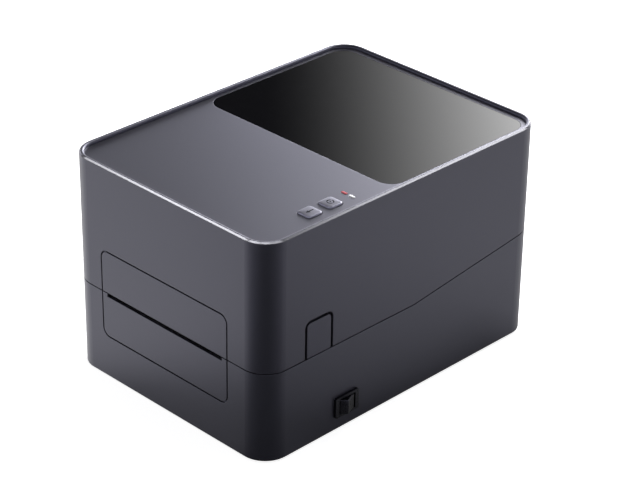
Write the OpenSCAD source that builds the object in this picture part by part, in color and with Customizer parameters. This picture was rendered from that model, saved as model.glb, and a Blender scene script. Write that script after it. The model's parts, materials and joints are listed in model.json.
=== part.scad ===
// Desktop thermal label printer: a drop-in roll bay under a hinged lid, a platen roller
// driven by a stepper motor, and a sprung print head carried in the lid.
// Millimetres. The origin is the middle of the footprint, on the plane that the feet stand on.
// The front, with the label slot, faces -Y; +Z is up.

/* [Housing] */
// Width of the housing across the front
body_w = 184; // [180:1:196]
// Depth of the housing from front to back
body_d = 255; // [252:1:270]
// Height of the housing without its feet
body_h = 157; // [155:1:170]
// Radius of the four upright corners
corner_r = 18; // [14:0.5:22]
// Thickness of the housing walls
wall = 2.5; // [2.2:0.1:3]
// Height of the rubber feet
foot_h = 1.5; // [1:0.1:3]
// Radius of the rubber feet
foot_r = 8; // [6:0.5:10]
// Distance of each foot from the two nearest sides of the housing
foot_inset = 24; // [20:1:30]

/* [Split line] */
// Height of the split between base and lid, above the housing's underside at the front
split_h = 63.9; // [62:0.1:66]
// Distance from the front face to where the split line starts to climb
bend_inset = 134.5; // [128:0.5:148]
// Climb of the split line behind the bend, in millimetres for each 100 millimetres
climb = 12.2; // [10:0.1:14]
// Radius of the soft bend in the split line
bend_r = 60; // [30:5:100]
// Gap between the base and the closed lid
split_gap = 0.7; // [0.5:0.1:0.9]

/* [Lid hinge] */
// Radius of the rounded rear edge of the base
hinge_r = 4.8; // [4.4:0.1:4.8]
// Distance from the hinge axis to the rear face
hinge_inset = 5; // [5:0.1:6]
// Radius of the two steel hinge pins
hinge_pin_r = 1.5; // [1.2:0.1:1.8]
// Distance of each hinge lug from the middle
hinge_x = 55; // [50:1:58]
// Width of a hinge lug
lug_w = 12; // [8:1:16]
// Radius of the round end of a hinge lug
lug_r = 4.2; // [3.8:0.1:4.4]
// Height of a hinge lug above its axis
lug_h = 14; // [12:1:20]
// Gap beside and below a hinge lug
lug_gap = 0.4; // [0.3:0.1:0.8]
// Depth of a hinge pin in the base on each side of its lug
pin_grip = 8; // [6:1:10]
// Radial running clearance of the pins
pin_fit = 0.05; // [0.03:0.01:0.08]

/* [Lid top] */
// Radius of the half-round rim round the lid
rim_r = 1.7; // [1.4:0.1:2]
// Depth of the top face below the rim
tray_depth = 2.5; // [1.5:0.1:3.5]
// Thickness of the top face
top_t = 3; // [2.6:0.1:4]
// Strip of the top face between the rim and the sides of the window
window_margin = 2.6; // [1.5:0.1:5]
// Strip of the top face between the rim and the back of the window
window_back_margin = 4.1; // [3:0.1:8]
// Distance from the front face to the front edge of the window
window_inset = 115.5; // [112:0.5:126]
// Corner radius of the window
window_r = 12; // [8:1:16]
// Thickness of the window panel
window_t = 1.8; // [1.2:0.1:2]
// Width of the ledge that carries the window
window_ledge = 5; // [3:0.5:8]
// Clearance round the window panel
window_fit = 0.2; // [0.1:0.05:0.4]

/* [Front panel] */
// Width of the inset front panel
panel_w = 120.8; // [112:0.2:126]
// Height of the panel's lower edge above the housing's underside
panel_low = 30.6; // [26:0.1:36]
// Height of the panel's upper edge above the housing's underside
panel_high = 96; // [90:0.1:102]
// Corner radius of the panel
panel_r = 6.5; // [4:0.5:9]
// Thickness of the panel
panel_t = 1.5; // [1.2:0.1:1.7]
// Width of the groove round the panel
panel_groove = 1.1; // [0.8:0.1:1.3]
// Width of the label slot
slot_w = 110; // [108:0.2:111]
// Height of the label slot below the split
slot_h = 2.3; // [1.8:0.1:2.6]
// Offset of the front panel and the label slot from the middle
front_shift = -1.7; // [-2:0.1:2]
// Depth of the printing line below the split
nip_drop = 0.9; // [0.7:0.1:1.2]

/* [Keys and lamps] */
// Distance from the right side to the middle of the two keys
key_side = 17.5; // [17.5:0.1:20]
// Distance from the front face to the feed key
feed_inset = 54.7; // [48:0.1:56]
// Distance from the front face to the calibration key
cal_inset = 72.7; // [70:0.1:76]
// Width and length of a key
key_size = 12.4; // [10:0.1:14]
// Corner radius of a key
key_r = 2.6; // [1.5:0.1:4]
// Height of a key above the top face
key_rise = 1.3; // [0.8:0.1:1.8]
// Travel of a key
key_travel = 0.8; // [0.4:0.1:0.9]
// Gap round a key
key_gap = 0.3; // [0.3:0.05:0.5]
// Distance from the front face to the two lamps
lamp_inset = 89.1; // [86:0.1:94]
// Distance from the right side to the lamps' midpoint
lamp_side = 18.1; // [16:0.1:21]
// Distance between the two lamps
lamp_pitch = 6.7; // [6:0.1:9]
// Length of a lamp lens
lamp_l = 4.9; // [4:0.1:5.5]
// Width of a lamp lens
lamp_w = 2.4; // [1.8:0.1:3]
// Clearance round a lamp lens
lamp_fit = 0.1; // [0.05:0.05:0.2]

/* [Latch] */
// Width of a latch button
latch_w = 20.8; // [18:0.2:21.4]
// Height of a latch button's top above the housing's underside
latch_top = 89.4; // [85:0.2:91]
// Distance from the front face to the middle of a latch button
latch_inset = 47; // [46:0.5:50]
// Top corner radius of a latch button
latch_r = 3; // [2:0.5:5]
// Groove round a latch button
latch_groove = 2; // [1.6:0.1:2.2]
// Travel of a latch button
latch_travel = 2.5; // [1.5:0.1:3]
// Thickness of the flange behind a latch button
latch_flange = 1.6; // [1.2:0.1:2]
// Overlap of the flange behind the wall
latch_lap = 3.2; // [3:0.1:3.4]
// Radius of the stem that guides a latch button
latch_stem_r = 3; // [2.5:0.1:4]
// Depth of the guide box behind a latch button
latch_box = 14; // [12:0.5:18]
// Length of the latch hook below the split
hook_drop = 12; // [9:0.5:15]
// Thickness of the latch hook
hook_t = 1.5; // [1.2:0.1:2]
// Width of the latch hook
hook_w = 12; // [8:0.5:16]
// Reach of the latch nose and of its catch
hook_nose = 1.2; // [0.8:0.1:1.4]

/* [Power switch] */
// Distance from the front face to the middle of the power switch
switch_inset = 72; // [68:0.5:76]
// Height of the switch's middle above the housing's underside
switch_h = 16.6; // [15.5:0.1:18]
// Length of the switch flange
switch_l = 21; // [20:0.5:22]
// Height of the switch flange
switch_w = 15; // [14:0.5:16]
// Thickness of the switch flange
switch_t = 2; // [1.5:0.1:2.5]
// Length of the rocker
rocker_l = 13; // [12.6:0.1:13.4]
// Length of the rocker's flat top
rocker_top = 8.6; // [8:0.1:9.2]
// Width of the rocker
rocker_w = 10.8; // [10.2:0.1:11]
// Tilt of the rocker to either side
rocker_tilt = 20; // [16:0.5:21]
// Height of the rocker's top above its pivot
rocker_h = 4.2; // [3.6:0.1:4.5]
// Depth of the switch body behind the wall
switch_depth = 17; // [14:0.5:20]

/* [Platen and drive] */
// Radius of the rubber platen
platen_r = 8; // [7:0.5:9]
// Length of the rubber platen
platen_l = 109; // [106:1:110]
// Distance from the front face to the platen axis
platen_inset = 19.5; // [18:0.5:22]
// Radius of the platen shaft
shaft_r = 3; // [2.5:0.1:3.5]
// Distance of the bearing frames' inner faces from the middle
frame_x = 60; // [59:0.5:62]
// Thickness of the bearing frames
frame_t = 2; // [1.5:0.1:2.5]
// Outer radius of the platen bushings
bushing_r = 5; // [4.5:0.1:5.5]
// Module of the drive gears
gear_m = 1; // [0.9:0.05:1]
// Teeth of the platen gear
platen_teeth = 18; // [17:1:18]
// Teeth of the idler gear
idler_teeth = 26; // [24:1:26]
// Teeth of the motor pinion
motor_teeth = 16; // [16:1:17]
// Direction from the platen to the idler, in degrees
idler_angle = -60; // [-65:1:-55]
// Direction from the idler to the motor pinion, in degrees
motor_angle = -25; // [-30:1:-20]
// Face width of the gears
gear_t = 6; // [4:0.5:7]
// Gap between the bearing frame and the gears
gear_clear = 2.2; // [2.2:0.1:3]
// Radius of the idler stud
stud_r = 2; // [1.8:0.1:2.4]
// Side of the square motor body
motor_side = 34; // [32:0.5:35]
// Length of the motor body
motor_l = 24; // [20:1:28]
// Radius of the motor shaft
motor_shaft_r = 2.5; // [2:0.1:3]
// Radius of the motor's centring ring
motor_ring_r = 9; // [8:0.5:10]

/* [Print head] */
// Gap between the print head and the platen
head_gap = 0.4; // [0.35:0.05:0.6]
// Travel of the print head against its springs
head_travel = 1; // [0.6:0.1:1.2]
// Thickness of the ceramic strip
strip_t = 1.6; // [1.2:0.1:2]
// Width of the ceramic strip, front to back
strip_w = 12; // [10:0.5:14]
// Length of the ceramic strip
strip_l = 112; // [110:1:114]
// Height of the aluminium heat sink
sink_h = 10; // [8:0.5:12]
// Width of the heat sink, front to back
sink_w = 20; // [18:0.5:22]
// Length of the heat sink
sink_l = 116; // [116:1:120]
// Clear height between the heat sink and the beam that carries it
beam_rise = 6; // [4:0.5:8]
// Outer radius of the print head springs
spring_r = 3.6; // [3.2:0.1:4]
// Thickness of the beam
beam_t = 2; // [1.5:0.1:2.5]

/* [Roll bay] */
// Height of the deck's underside above the floor of the base
deck_rise = 18; // [17.5:0.1:18.5]
// Thickness of the deck
deck_t = 2.5; // [2:0.1:3]
// Widest label that the guides take
media_w = 112; // [108:1:112]
// Travel of each label guide
guide_travel = 30; // [20:1:32]
// Thickness of a label guide
guide_t = 3; // [2.5:0.1:3.5]
// Height of a label guide above the deck
guide_h = 62; // [50:1:64]
// Length of a label guide along the depth
guide_l = 76; // [60:1:80]
// Distance from the rear face to the roll's axis
roll_inset = 87.5; // [84:0.5:90]
// Height of the roll's axis above the deck
roll_rise = 42; // [36:1:44]
// Radius of the hub that carries the roll's core
hub_r = 12; // [10:0.5:12.5]
// Reach of the hub into the core
hub_l = 6; // [4:0.5:8]
// Teeth of the guide pinion
guide_teeth = 20; // [18:2:20]
// Thickness of the guide racks and of their pinion
rack_t = 4; // [3:0.5:4]
// Depth of a guide rack behind its teeth
rack_back = 3.5; // [3:0.5:4]

/* [Electronics] */
// Thickness of the circuit boards
board_t = 1.6; // [1.2:0.1:2]
// Height of the main board above the floor of the base
board_rise = 4; // [3:0.5:5]
// Distance of the power inlet from the middle
jack_x = 55; // [50:1:60]
// Distance of the data port from the middle
port_x = 30; // [26:1:34]
// Depth of the key board below the top face's underside
key_board_drop = 14; // [12:0.5:16]

/* [Hidden] */
$fn = 96;

// Cuts run this far past the faces that they open
over = 1;
// Play between a fixed piece and the opening that it is pushed into
seat_fit = 0.02;

half_w = body_w / 2;
half_d = body_d / 2;
z0 = foot_h;
top_z = z0 + body_h;
floor_z = z0 + wall;
tray_z = top_z - tray_depth;
ceiling_z = tray_z - top_t;
split_front_z = z0 + split_h;

bend_y = bend_inset - half_d;
pivot_y = half_d - hinge_inset;
split_rear_z = split_front_z + (pivot_y - bend_y) * climb / 100;
pivot_z = split_rear_z - hinge_r;
rail_drop = hinge_r + 2.4;
bend_steps = 4;
pin_l = lug_w + 2 * lug_gap + 2 * pin_grip;
pin_pocket = hinge_x - pin_l / 2 - 4;

platen_y = platen_inset - half_d;
platen_z = split_front_z - nip_drop - platen_r;
gear_x = frame_x + frame_t + gear_clear;
frame_foot = 12;
frame_half = 11;
frame_cut = 3.5;
frame_drop = 2;
shaft_end = 0.5;
shaft_tail = 4;
platen_idler = gear_m * (platen_teeth + idler_teeth) / 2;
idler_motor = gear_m * (idler_teeth + motor_teeth) / 2;
idler_y = platen_y + platen_idler * cos(idler_angle);
idler_z = platen_z + platen_idler * sin(idler_angle);
motor_y = idler_y + idler_motor * cos(motor_angle);
motor_z = idler_z + idler_motor * sin(motor_angle);
motor_half = motor_side / 2;
frame_back = motor_y + motor_half + 8;
motor_hole = 0.38 * motor_side;
motor_screw_l = 6;
chute_t = 2;
chute_z = platen_z - platen_r;
chute_front = platen_y + frame_half + 1;
chute_back = frame_back - frame_cut;
sensor_half = 11;
sensor_l = 18;
sensor_rim = 2.5;
sensor_t = 4;
sensor_y = chute_front + 4;
seat_gap = 0.5;
pressure_angle = 20;
backlash = 0.16;
idler_phase = idler_angle + 180 + 180 / idler_teeth;
idler_step = 360 / idler_teeth;
idler_lead = motor_angle - idler_phase
             - idler_step * floor((motor_angle - idler_phase) / idler_step);
motor_phase = motor_angle + 180 + idler_lead * idler_teeth / motor_teeth + 180 / motor_teeth;

window_front = window_inset - half_d;
window_w = 2 * (half_w - 2 * rim_r - window_margin);
window_back = half_d - 2 * rim_r - window_back_margin;
window_d = window_back - window_front;

deck_z = floor_z + deck_rise;
deck_top = deck_z + deck_t;
deck_front = frame_back + 11;
deck_back = half_d - 17;
deck_half = half_w - 12;
roll_y = half_d - roll_inset;
boss_r = 4;
screw_r = 1.4;
screw_head_r = 3;
screw_head_h = 1.6;
boss_x = deck_half - 8;
boss_front = deck_front + 7;
boss_back = deck_back - 7;
guide_face = media_w / 2 + 1;
guide_pitch_r = gear_m * guide_teeth / 2;
rack_offset = guide_pitch_r + 1.2 * gear_m + rack_back / 2;
rack_gap = 0.3;
rack_z = deck_z - rack_gap - rack_t;
rack_teeth = floor((guide_face + 10) / (PI * gear_m));
rack_lead = 3;
hub_t = 3;
guide_foot = 6;
rail_t = 2;
foot_gap = 0.6;

switch_y = switch_inset - half_d;
switch_z = z0 + switch_h;
switch_body_l = switch_l - 2;
switch_body_w = switch_w - 2;
rocker_gap = 0.8;
rocker_side_gap = 0.3;
rocker_pin_r = 1;

board_z = floor_z + board_rise;
board_w = 84;
board_d = 56;
board_x = -jack_x - 9;
board_y = half_d - wall - 1.5 - board_d;
jack_w = 9;
jack_h = 11;
jack_l = 14;
jack_bore_r = 3.2;
jack_pin_r = 1;
port_w = 12;
port_h = 11;
port_l = 16;
port_recess = 1;

strip_z = platen_z + platen_r + head_gap;
sink_z = strip_z + strip_t;
beam_z = sink_z + sink_h + beam_rise;
beam_half = half_w - wall - 4.5;
beam_w = 20;
beam_lip = 4;
collar_h = 1.2;
ledge_w = 16;
ledge_h = 8;

latch_y = latch_inset - half_d;
latch_mid_x = half_w - wall;
latch_inner = 0.4;
stop_gap = 0.3;
latch_box_t = 2;
latch_side = latch_w / 2 + latch_lap + 1;
stem_z = z0 + latch_top - 12;
stem_fit = 0.1;
hook_x = latch_mid_x - latch_inner - latch_flange - hook_t;

key_x = half_w - key_side;
feed_y = feed_inset - half_d;
cal_y = cal_inset - half_d;
lamp_x = half_w - lamp_side;
lamp_y = lamp_inset - half_d;
key_board_z = ceiling_z - key_board_drop;
key_board_front = feed_y - 14;
key_board_back = lamp_y + 10;
key_board_half = 12;
tact_size = 6;
tact_h = 3.5;
tact_gap = 0.3;
key_flange = 1.2;

graphite = "#5b5b63";
dark = "#2b2b30";
black = "#161618";
steel = "#b9bcc0";
green = "#2f6b45";

function involute(a) = tan(a) * 180 / PI - a;
function base_radius(teeth) = gear_m * teeth / 2 * cos(pressure_angle);
function flank(teeth, r) = r > base_radius(teeth) ? involute(acos(base_radius(teeth) / r)) : 0;
function thinning(teeth) = backlash / (gear_m * teeth) * 180 / PI;
// Half the angle that a gear tooth spans at radius r
function half_tooth(teeth, r) =
    90 / teeth - thinning(teeth) + involute(pressure_angle) - flank(teeth, r);
function tooth_radii(teeth) =
    [for (rise = [-1.2, -0.4, 0.3, 0.9]) gear_m * (teeth / 2 + rise)];
function gear_outline(teeth) =
    [for (i = [0:teeth - 1], side = [-1, 1], k = [0:3])
        let (r = tooth_radii(teeth)[side < 0 ? k : 3 - k],
             a = 360 * i / teeth + side * half_tooth(teeth, r))
        [r * cos(a), r * sin(a)]];
// Straight rack whose pitch line is the X axis, with its teeth towards +Y and a gap at x = 0
function rack_tooth(mid, side, rise) =
    [mid + side * (PI * gear_m / 4 - backlash / 2 - gear_m * rise * tan(pressure_angle)),
     gear_m * rise];
function rack_outline(first, last) = concat(
    [[(first - 0.5) * PI * gear_m, -gear_m * 1.2 - rack_back],
     [(first - 0.5) * PI * gear_m, -gear_m * 1.2]],
    [for (i = [first:last]) let (mid = (i + 0.5) * PI * gear_m)
        each [rack_tooth(mid, -1, -1.2), rack_tooth(mid, -1, 0.9),
              rack_tooth(mid, 1, 0.9), rack_tooth(mid, 1, -1.2)]],
    [[(last + 1.5) * PI * gear_m, -gear_m * 1.2],
     [(last + 1.5) * PI * gear_m, -gear_m * 1.2 - rack_back]]);

// The split line from front to back, raised by lift
function split_line(lift) =
    let (turn = atan(climb / 100), tangent = bend_r * tan(turn / 2))
    concat(
        [[-half_d - over, split_front_z + lift]],
        [for (i = [0:bend_steps]) let (a = turn * i / bend_steps)
            [bend_y - tangent + bend_r * sin(a), split_front_z + bend_r * (1 - cos(a)) + lift]],
        [[pivot_y, split_rear_z + lift]]);

module rounded_rect(w, d, r) {
    square([w - 2 * r, d], center = true);
    square([w, d - 2 * r], center = true);
    for (x = [-1, 1], y = [-1, 1])
        translate([x * (w / 2 - r), y * (d / 2 - r)]) circle(r);
}

// The housing's outline drawn in by inset, from height low to height high
module housing_block(inset, low, high) {
    translate([0, 0, low])
        linear_extrude(high - low)
            rounded_rect(body_w - 2 * inset, body_d - 2 * inset, corner_r - inset);
}

// A profile in the YZ plane, extruded to both sides of the middle
module across(width) {
    rotate([90, 0, 90]) linear_extrude(width, center = true) children();
}

// A profile in the YZ plane, extruded from x = from to x = to
module across_from(from, to) {
    translate([from, 0, 0]) rotate([90, 0, 90]) linear_extrude(to - from) children();
}

// A profile in the XZ plane, sunk from the front face to the given depth
module on_front(depth) {
    translate([0, depth - half_d, 0]) rotate([90, 0, 0]) linear_extrude(depth + over) children();
}

// A box given by its two corners
module span(low, high) {
    translate(low) cube(high - low);
}

// A rod along X
module rod_x(r, from, to, y, z) {
    translate([from, y, z]) rotate([0, 90, 0]) cylinder(h = to - from, r = r);
}

module on_side(side) {
    mirror([side < 0 ? 1 : 0, 0, 0]) children();
}

module base_profile() {
    polygon(concat(split_line(0), [[pivot_y, 0], [-half_d - over, 0]]));
    translate([pivot_y, 0]) square([hinge_inset + over, pivot_z]);
    translate([pivot_y, pivot_z]) intersection() {
        circle(hinge_r);
        square(hinge_r);
    }
}

module lid_profile() {
    polygon(concat(split_line(split_gap),
        [[half_d + over, split_rear_z + split_gap], [half_d + over, top_z + over],
         [-half_d - over, top_z + over]]));
}

// The front panel's outline, drawn in by inset, in the XZ plane
module panel_outline(inset) {
    translate([front_shift, z0 + (panel_low + panel_high) / 2])
        rounded_rect(panel_w - 2 * inset, panel_high - panel_low - 2 * inset, panel_r - inset);
}

module slot_cut(depth) {
    span([front_shift - slot_w / 2, -half_d - over, split_front_z - slot_h],
         [front_shift + slot_w / 2, depth - half_d, split_front_z + over]);
}

// The space that a hinge lug swings in
module lug_slot() {
    half = lug_w / 2 + lug_gap;
    span([hinge_x - half, pivot_y - hinge_r - over, pivot_z - lug_r - lug_gap],
         [hinge_x + half, half_d + over, top_z]);
}

module switch_window() {
    span([half_w - wall - over, switch_y - switch_body_l / 2 - 0.1, switch_z - switch_body_w / 2 - 0.1],
         [half_w + over, switch_y + switch_body_l / 2 + 0.1, switch_z + switch_body_w / 2 + 0.1]);
}

module port_window(x, w, h) {
    span([x - w / 2 - 0.3, half_d - wall - over, board_z + board_t - 0.3],
         [x + w / 2 + 0.3, half_d + over, board_z + board_t + h + 0.3]);
}

module deck_boss_places() {
    for (x = [-boss_x, boss_x], y = [boss_front, boss_back]) translate([x, y, 0]) children();
}

module board_boss_places() {
    for (x = [board_x + 5, board_x + board_w - 5], y = [board_y + 5, board_y + board_d - 20])
        translate([x, y, 0]) children();
}

module base_shell() {
    color(graphite)
    difference() {
        union() {
            difference() {
                intersection() {
                    housing_block(0, z0, top_z);
                    across(body_w + 2 * over) base_profile();
                }
                difference() {
                    housing_block(wall, floor_z, top_z);
                    span([-half_w, pivot_y - hinge_r, pivot_z - rail_drop], [half_w, half_d, top_z]);
                }
            }
            deck_boss_places()
                translate([0, 0, floor_z - over]) cylinder(h = deck_rise + over, r = boss_r);
            board_boss_places()
                translate([0, 0, floor_z - over]) cylinder(h = board_rise + over, r = boss_r - 1);
            for (side = [-1, 1]) on_side(side)
                span([latch_mid_x - 0.5, latch_y - hook_w / 2 - 2, split_front_z - hook_drop + 3.4],
                     [latch_mid_x + over, latch_y + hook_w / 2 + 2, split_front_z - hook_drop + 6]);
        }
        on_front(panel_t) panel_outline(0);
        slot_cut(wall + over);
        for (side = [-1, 1]) on_side(side) {
            lug_slot();
            rod_x(hinge_pin_r + seat_fit, pin_pocket - over, hinge_x + pin_l / 2, pivot_y, pivot_z);
        }
        span([-pin_pocket, pivot_y - hinge_r - over, pivot_z - rail_drop - over],
             [pin_pocket, half_d - wall, top_z]);
        switch_window();
        port_window(-jack_x, jack_w, jack_h);
        port_window(-port_x, port_w, port_h);
        deck_boss_places()
            translate([0, 0, floor_z + 4]) cylinder(h = deck_rise, r = screw_r + seat_fit);
    }
}

module base_front_panel() {
    color(graphite)
    difference() {
        intersection() {
            on_front(panel_t) panel_outline(panel_groove);
            across(body_w) base_profile();
            span([-half_w, -half_d, z0], [half_w, 0, top_z]);
        }
        slot_cut(panel_t + over);
    }
}

module foot(x, y) {
    color(black)
        translate([x * (half_w - foot_inset), y * (half_d - foot_inset), 0])
            cylinder(h = foot_h, r = foot_r);
}

module hinge_pin(side) {
    color(steel) on_side(side)
        rod_x(hinge_pin_r, hinge_x - pin_l / 2, hinge_x + pin_l / 2, pivot_y, pivot_z);
}

module power_switch() {
    color(black)
    difference() {
        union() {
            translate([half_w, switch_y, switch_z]) rotate([90, 0, 90])
                linear_extrude(switch_t) rounded_rect(switch_l, switch_w, 1);
            span([half_w - switch_depth, switch_y - switch_body_l / 2, switch_z - switch_body_w / 2],
                 [half_w + over / 2, switch_y + switch_body_l / 2, switch_z + switch_body_w / 2]);
        }
        span([half_w - 5, switch_y - rocker_l / 2 - rocker_gap, switch_z - rocker_w / 2 - rocker_side_gap],
             [half_w + switch_t + over, switch_y + rocker_l / 2 + rocker_gap,
              switch_z + rocker_w / 2 + rocker_side_gap]);
        translate([half_w, switch_y, switch_z])
            cylinder(h = rocker_w + 2.4, r = rocker_pin_r + pin_fit, center = true);
    }
}

// The rocker turns about an upright pin; its rear end is pressed in
module power_rocker() {
    half = rocker_l / 2;
    flat = rocker_top / 2;
    color(black)
    translate([half_w, switch_y, switch_z]) rotate([0, 0, rocker_tilt]) {
        translate([0, 0, -rocker_w / 2]) linear_extrude(rocker_w)
            polygon([[-1.6, -half], [0, -half], [rocker_h, -flat], [rocker_h - 0.3, 0],
                     [rocker_h, flat], [0, half], [-1.6, half]]);
        cylinder(h = rocker_w + 1.8, r = rocker_pin_r, center = true);
    }
}

module frame_profile() {
    top = split_front_z - frame_drop;
    low_y = platen_y - frame_half;
    high_y = platen_y + frame_half;
    polygon([[low_y, floor_z], [low_y, top - frame_cut], [low_y + frame_cut, top],
             [high_y - frame_cut, top], [high_y, top - frame_cut], [high_y, chute_z],
             [frame_back - frame_cut, chute_z], [frame_back, chute_z - frame_cut],
             [frame_back, floor_z]]);
}

module bearing_frame(side) {
    color(steel) on_side(side)
    difference() {
        union() {
            across_from(frame_x, frame_x + frame_t) frame_profile();
            span([frame_x - frame_foot, motor_y - 10, floor_z],
                 [frame_x + over, motor_y + motor_half, floor_z + frame_t]);
        }
        rod_x(bushing_r + seat_fit, frame_x - over, frame_x + frame_t + over, platen_y, platen_z);
        if (side < 0) {
            rod_x(stud_r + seat_fit, frame_x - over, frame_x + frame_t + over, idler_y, idler_z);
            rod_x(motor_ring_r + seat_fit, frame_x - over, frame_x + frame_t + over, motor_y, motor_z);
            for (y = [-motor_hole, motor_hole], z = [-motor_hole, motor_hole])
                rod_x(screw_r + 0.2, frame_x - over, frame_x + frame_t + over, motor_y + y, motor_z + z);
        }
    }
}

module bushing(side) {
    color("#c9b37a") on_side(side)
    difference() {
        union() {
            rod_x(bushing_r, frame_x - over / 2, frame_x + frame_t, platen_y, platen_z);
            rod_x(bushing_r + 1.5, frame_x - 1.5, frame_x, platen_y, platen_z);
        }
        rod_x(shaft_r + pin_fit, frame_x - 3, frame_x + frame_t + over, platen_y, platen_z);
    }
}

module idler_stud() {
    color(steel) {
        rod_x(stud_r, -gear_x - gear_t - 0.5, -frame_x, idler_y, idler_z);
        rod_x(stud_r + 1.5, -gear_x - gear_t - 1.7, -gear_x - gear_t - 0.3, idler_y, idler_z);
    }
}

module stepper_motor() {
    color(dark)
    difference() {
        union() {
            span([-frame_x, motor_y - motor_half, motor_z - motor_half],
                 [-frame_x + motor_l, motor_y + motor_half, motor_z + motor_half]);
            rod_x(motor_ring_r, -frame_x - frame_t, -frame_x + over, motor_y, motor_z);
        }
        rod_x(motor_shaft_r + pin_fit, -frame_x - frame_t - over, -frame_x + motor_l - 3,
              motor_y, motor_z);
        for (y = [-motor_hole, motor_hole], z = [-motor_hole, motor_hole])
            rod_x(screw_r + seat_fit, -frame_x - over, -frame_x + motor_screw_l, motor_y + y, motor_z + z);
        for (y = [-1, 1], z = [-1, 1])
            translate([-frame_x + motor_l / 2, motor_y + y * motor_half, motor_z + z * motor_half])
                rotate([45, 0, 0]) cube([motor_l + 2 * over, 4, 4], center = true);
    }
}

module motor_screw(y, z) {
    color(steel)
        translate([-frame_x - frame_t, motor_y + y * motor_hole, motor_z + z * motor_hole])
            rotate([0, -90, 0]) screw(frame_t + motor_screw_l - 1);
}

// A gear on an axis along X, on the left outside the frame, with a tooth at the angle phase
module side_gear(teeth, bore_r, phase) {
    translate([-gear_x - gear_t, 0, 0]) rotate([90, 0, 90])
        linear_extrude(gear_t) difference() {
            rotate(phase) polygon(gear_outline(teeth));
            circle(bore_r);
        }
}

module motor_pinion() {
    color("#d8b25a") translate([0, motor_y, motor_z]) {
        side_gear(motor_teeth, motor_shaft_r - 0.5, motor_phase);
        rod_x(motor_shaft_r, -gear_x - gear_t - shaft_end, -frame_x + motor_l - shaft_tail, 0, 0);
    }
}

module idler_gear() {
    color("#e6e2d6") translate([0, idler_y, idler_z])
        side_gear(idler_teeth, stud_r + pin_fit, idler_phase);
}

module platen_shaft() {
    color(steel)
        rod_x(shaft_r, -gear_x - gear_t - shaft_end, frame_x + frame_t + shaft_tail, platen_y, platen_z);
}

module platen_rubber() {
    color(black)
    difference() {
        rod_x(platen_r, -platen_l / 2, platen_l / 2, platen_y, platen_z);
        rod_x(shaft_r, -platen_l / 2 - over, platen_l / 2 + over, platen_y, platen_z);
    }
}

module platen_gear() {
    color("#e6e2d6") translate([0, platen_y, platen_z])
        side_gear(platen_teeth, shaft_r, idler_angle);
}

// Serrated steel strip behind the label slot
module tear_bar() {
    teeth = 28;
    pitch = slot_w / teeth;
    low = platen_z;
    high = split_front_z - slot_h - 0.4;
    color(steel)
    translate([front_shift, wall + 1 - half_d, 0]) rotate([90, 0, 0]) linear_extrude(1)
        polygon(concat([[slot_w / 2, low], [-slot_w / 2, low], [-slot_w / 2, high - 1]],
            [for (i = [0:teeth - 1]) each [[(i + 0.5) * pitch - slot_w / 2, high],
                                          [(i + 1) * pitch - slot_w / 2, high - 1]]]));
}

// Plate that leads the labels from the roll to the platen
module label_chute() {
    color(dark)
    difference() {
        span([-frame_x, chute_front, chute_z], [frame_x, chute_back, chute_z + chute_t]);
        span([sensor_rim - sensor_half - seat_gap, sensor_y + sensor_rim - seat_gap, chute_z - over],
             [sensor_half - sensor_rim + seat_gap, sensor_y + sensor_l - sensor_rim + seat_gap,
              chute_z + chute_t + over]);
    }
    color(dark) for (side = [-1, 1]) on_side(side)
        span([frame_x, chute_front, chute_z],
             [frame_x + frame_t, chute_back - frame_cut, chute_z + chute_t]);
}

module label_sensor() {
    color(black) {
        span([-sensor_half, sensor_y, chute_z - sensor_t], [sensor_half, sensor_y + sensor_l, chute_z]);
        span([sensor_rim - sensor_half, sensor_y + sensor_rim, chute_z - over],
             [sensor_half - sensor_rim, sensor_y + sensor_l - sensor_rim, chute_z + chute_t]);
    }
}

module guide_slot(side) {
    low = guide_face - guide_travel - foot_gap;
    high = guide_face + guide_t + foot_gap;
    y = roll_y + side * rack_offset;
    on_side(side)
        span([low, y - guide_foot / 2 - foot_gap, deck_z - over],
             [high, y + guide_foot / 2 + foot_gap, deck_top + over]);
}

// Deck under the roll, with the slots of the two label guides and the rails of their racks
module media_deck() {
    rail = rack_offset + guide_foot / 2 + foot_gap;
    color(dark)
    difference() {
        union() {
            span([-deck_half, deck_front, deck_z], [deck_half, deck_back, deck_top]);
            for (side = [-1, 1])
                translate([0, roll_y + side * (rail + rail_t / 2), rack_z])
                    span([4 - deck_half, -rail_t / 2, 0], [deck_half - 4, rail_t / 2, rack_t + 1]);
            translate([0, roll_y, rack_z - rack_gap])
                cylinder(h = rack_t + 2 * rack_gap + over, r = stud_r + 1);
        }
        guide_slot(-1);
        guide_slot(1);
        deck_boss_places()
            translate([0, 0, deck_z - over]) cylinder(h = deck_t + 2 * over, r = screw_r + 0.2);
        translate([0, roll_y, rack_z - over])
            cylinder(h = rack_t + over, r = screw_r + seat_fit);
    }
}

module screw(length, head_r = screw_head_r) {
    cylinder(h = screw_head_h, r = head_r);
    translate([0, 0, -length]) cylinder(h = length + screw_head_h / 2, r = screw_r);
}

module deck_screw(x, y) {
    color(steel) translate([x * boss_x, y, deck_top]) screw(deck_t + 8);
}

module pinion_screw() {
    color(steel) translate([0, roll_y, rack_z - rack_gap]) mirror([0, 0, 1])
        screw(rack_t - 0.5, stud_r + 2.2);
}

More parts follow.
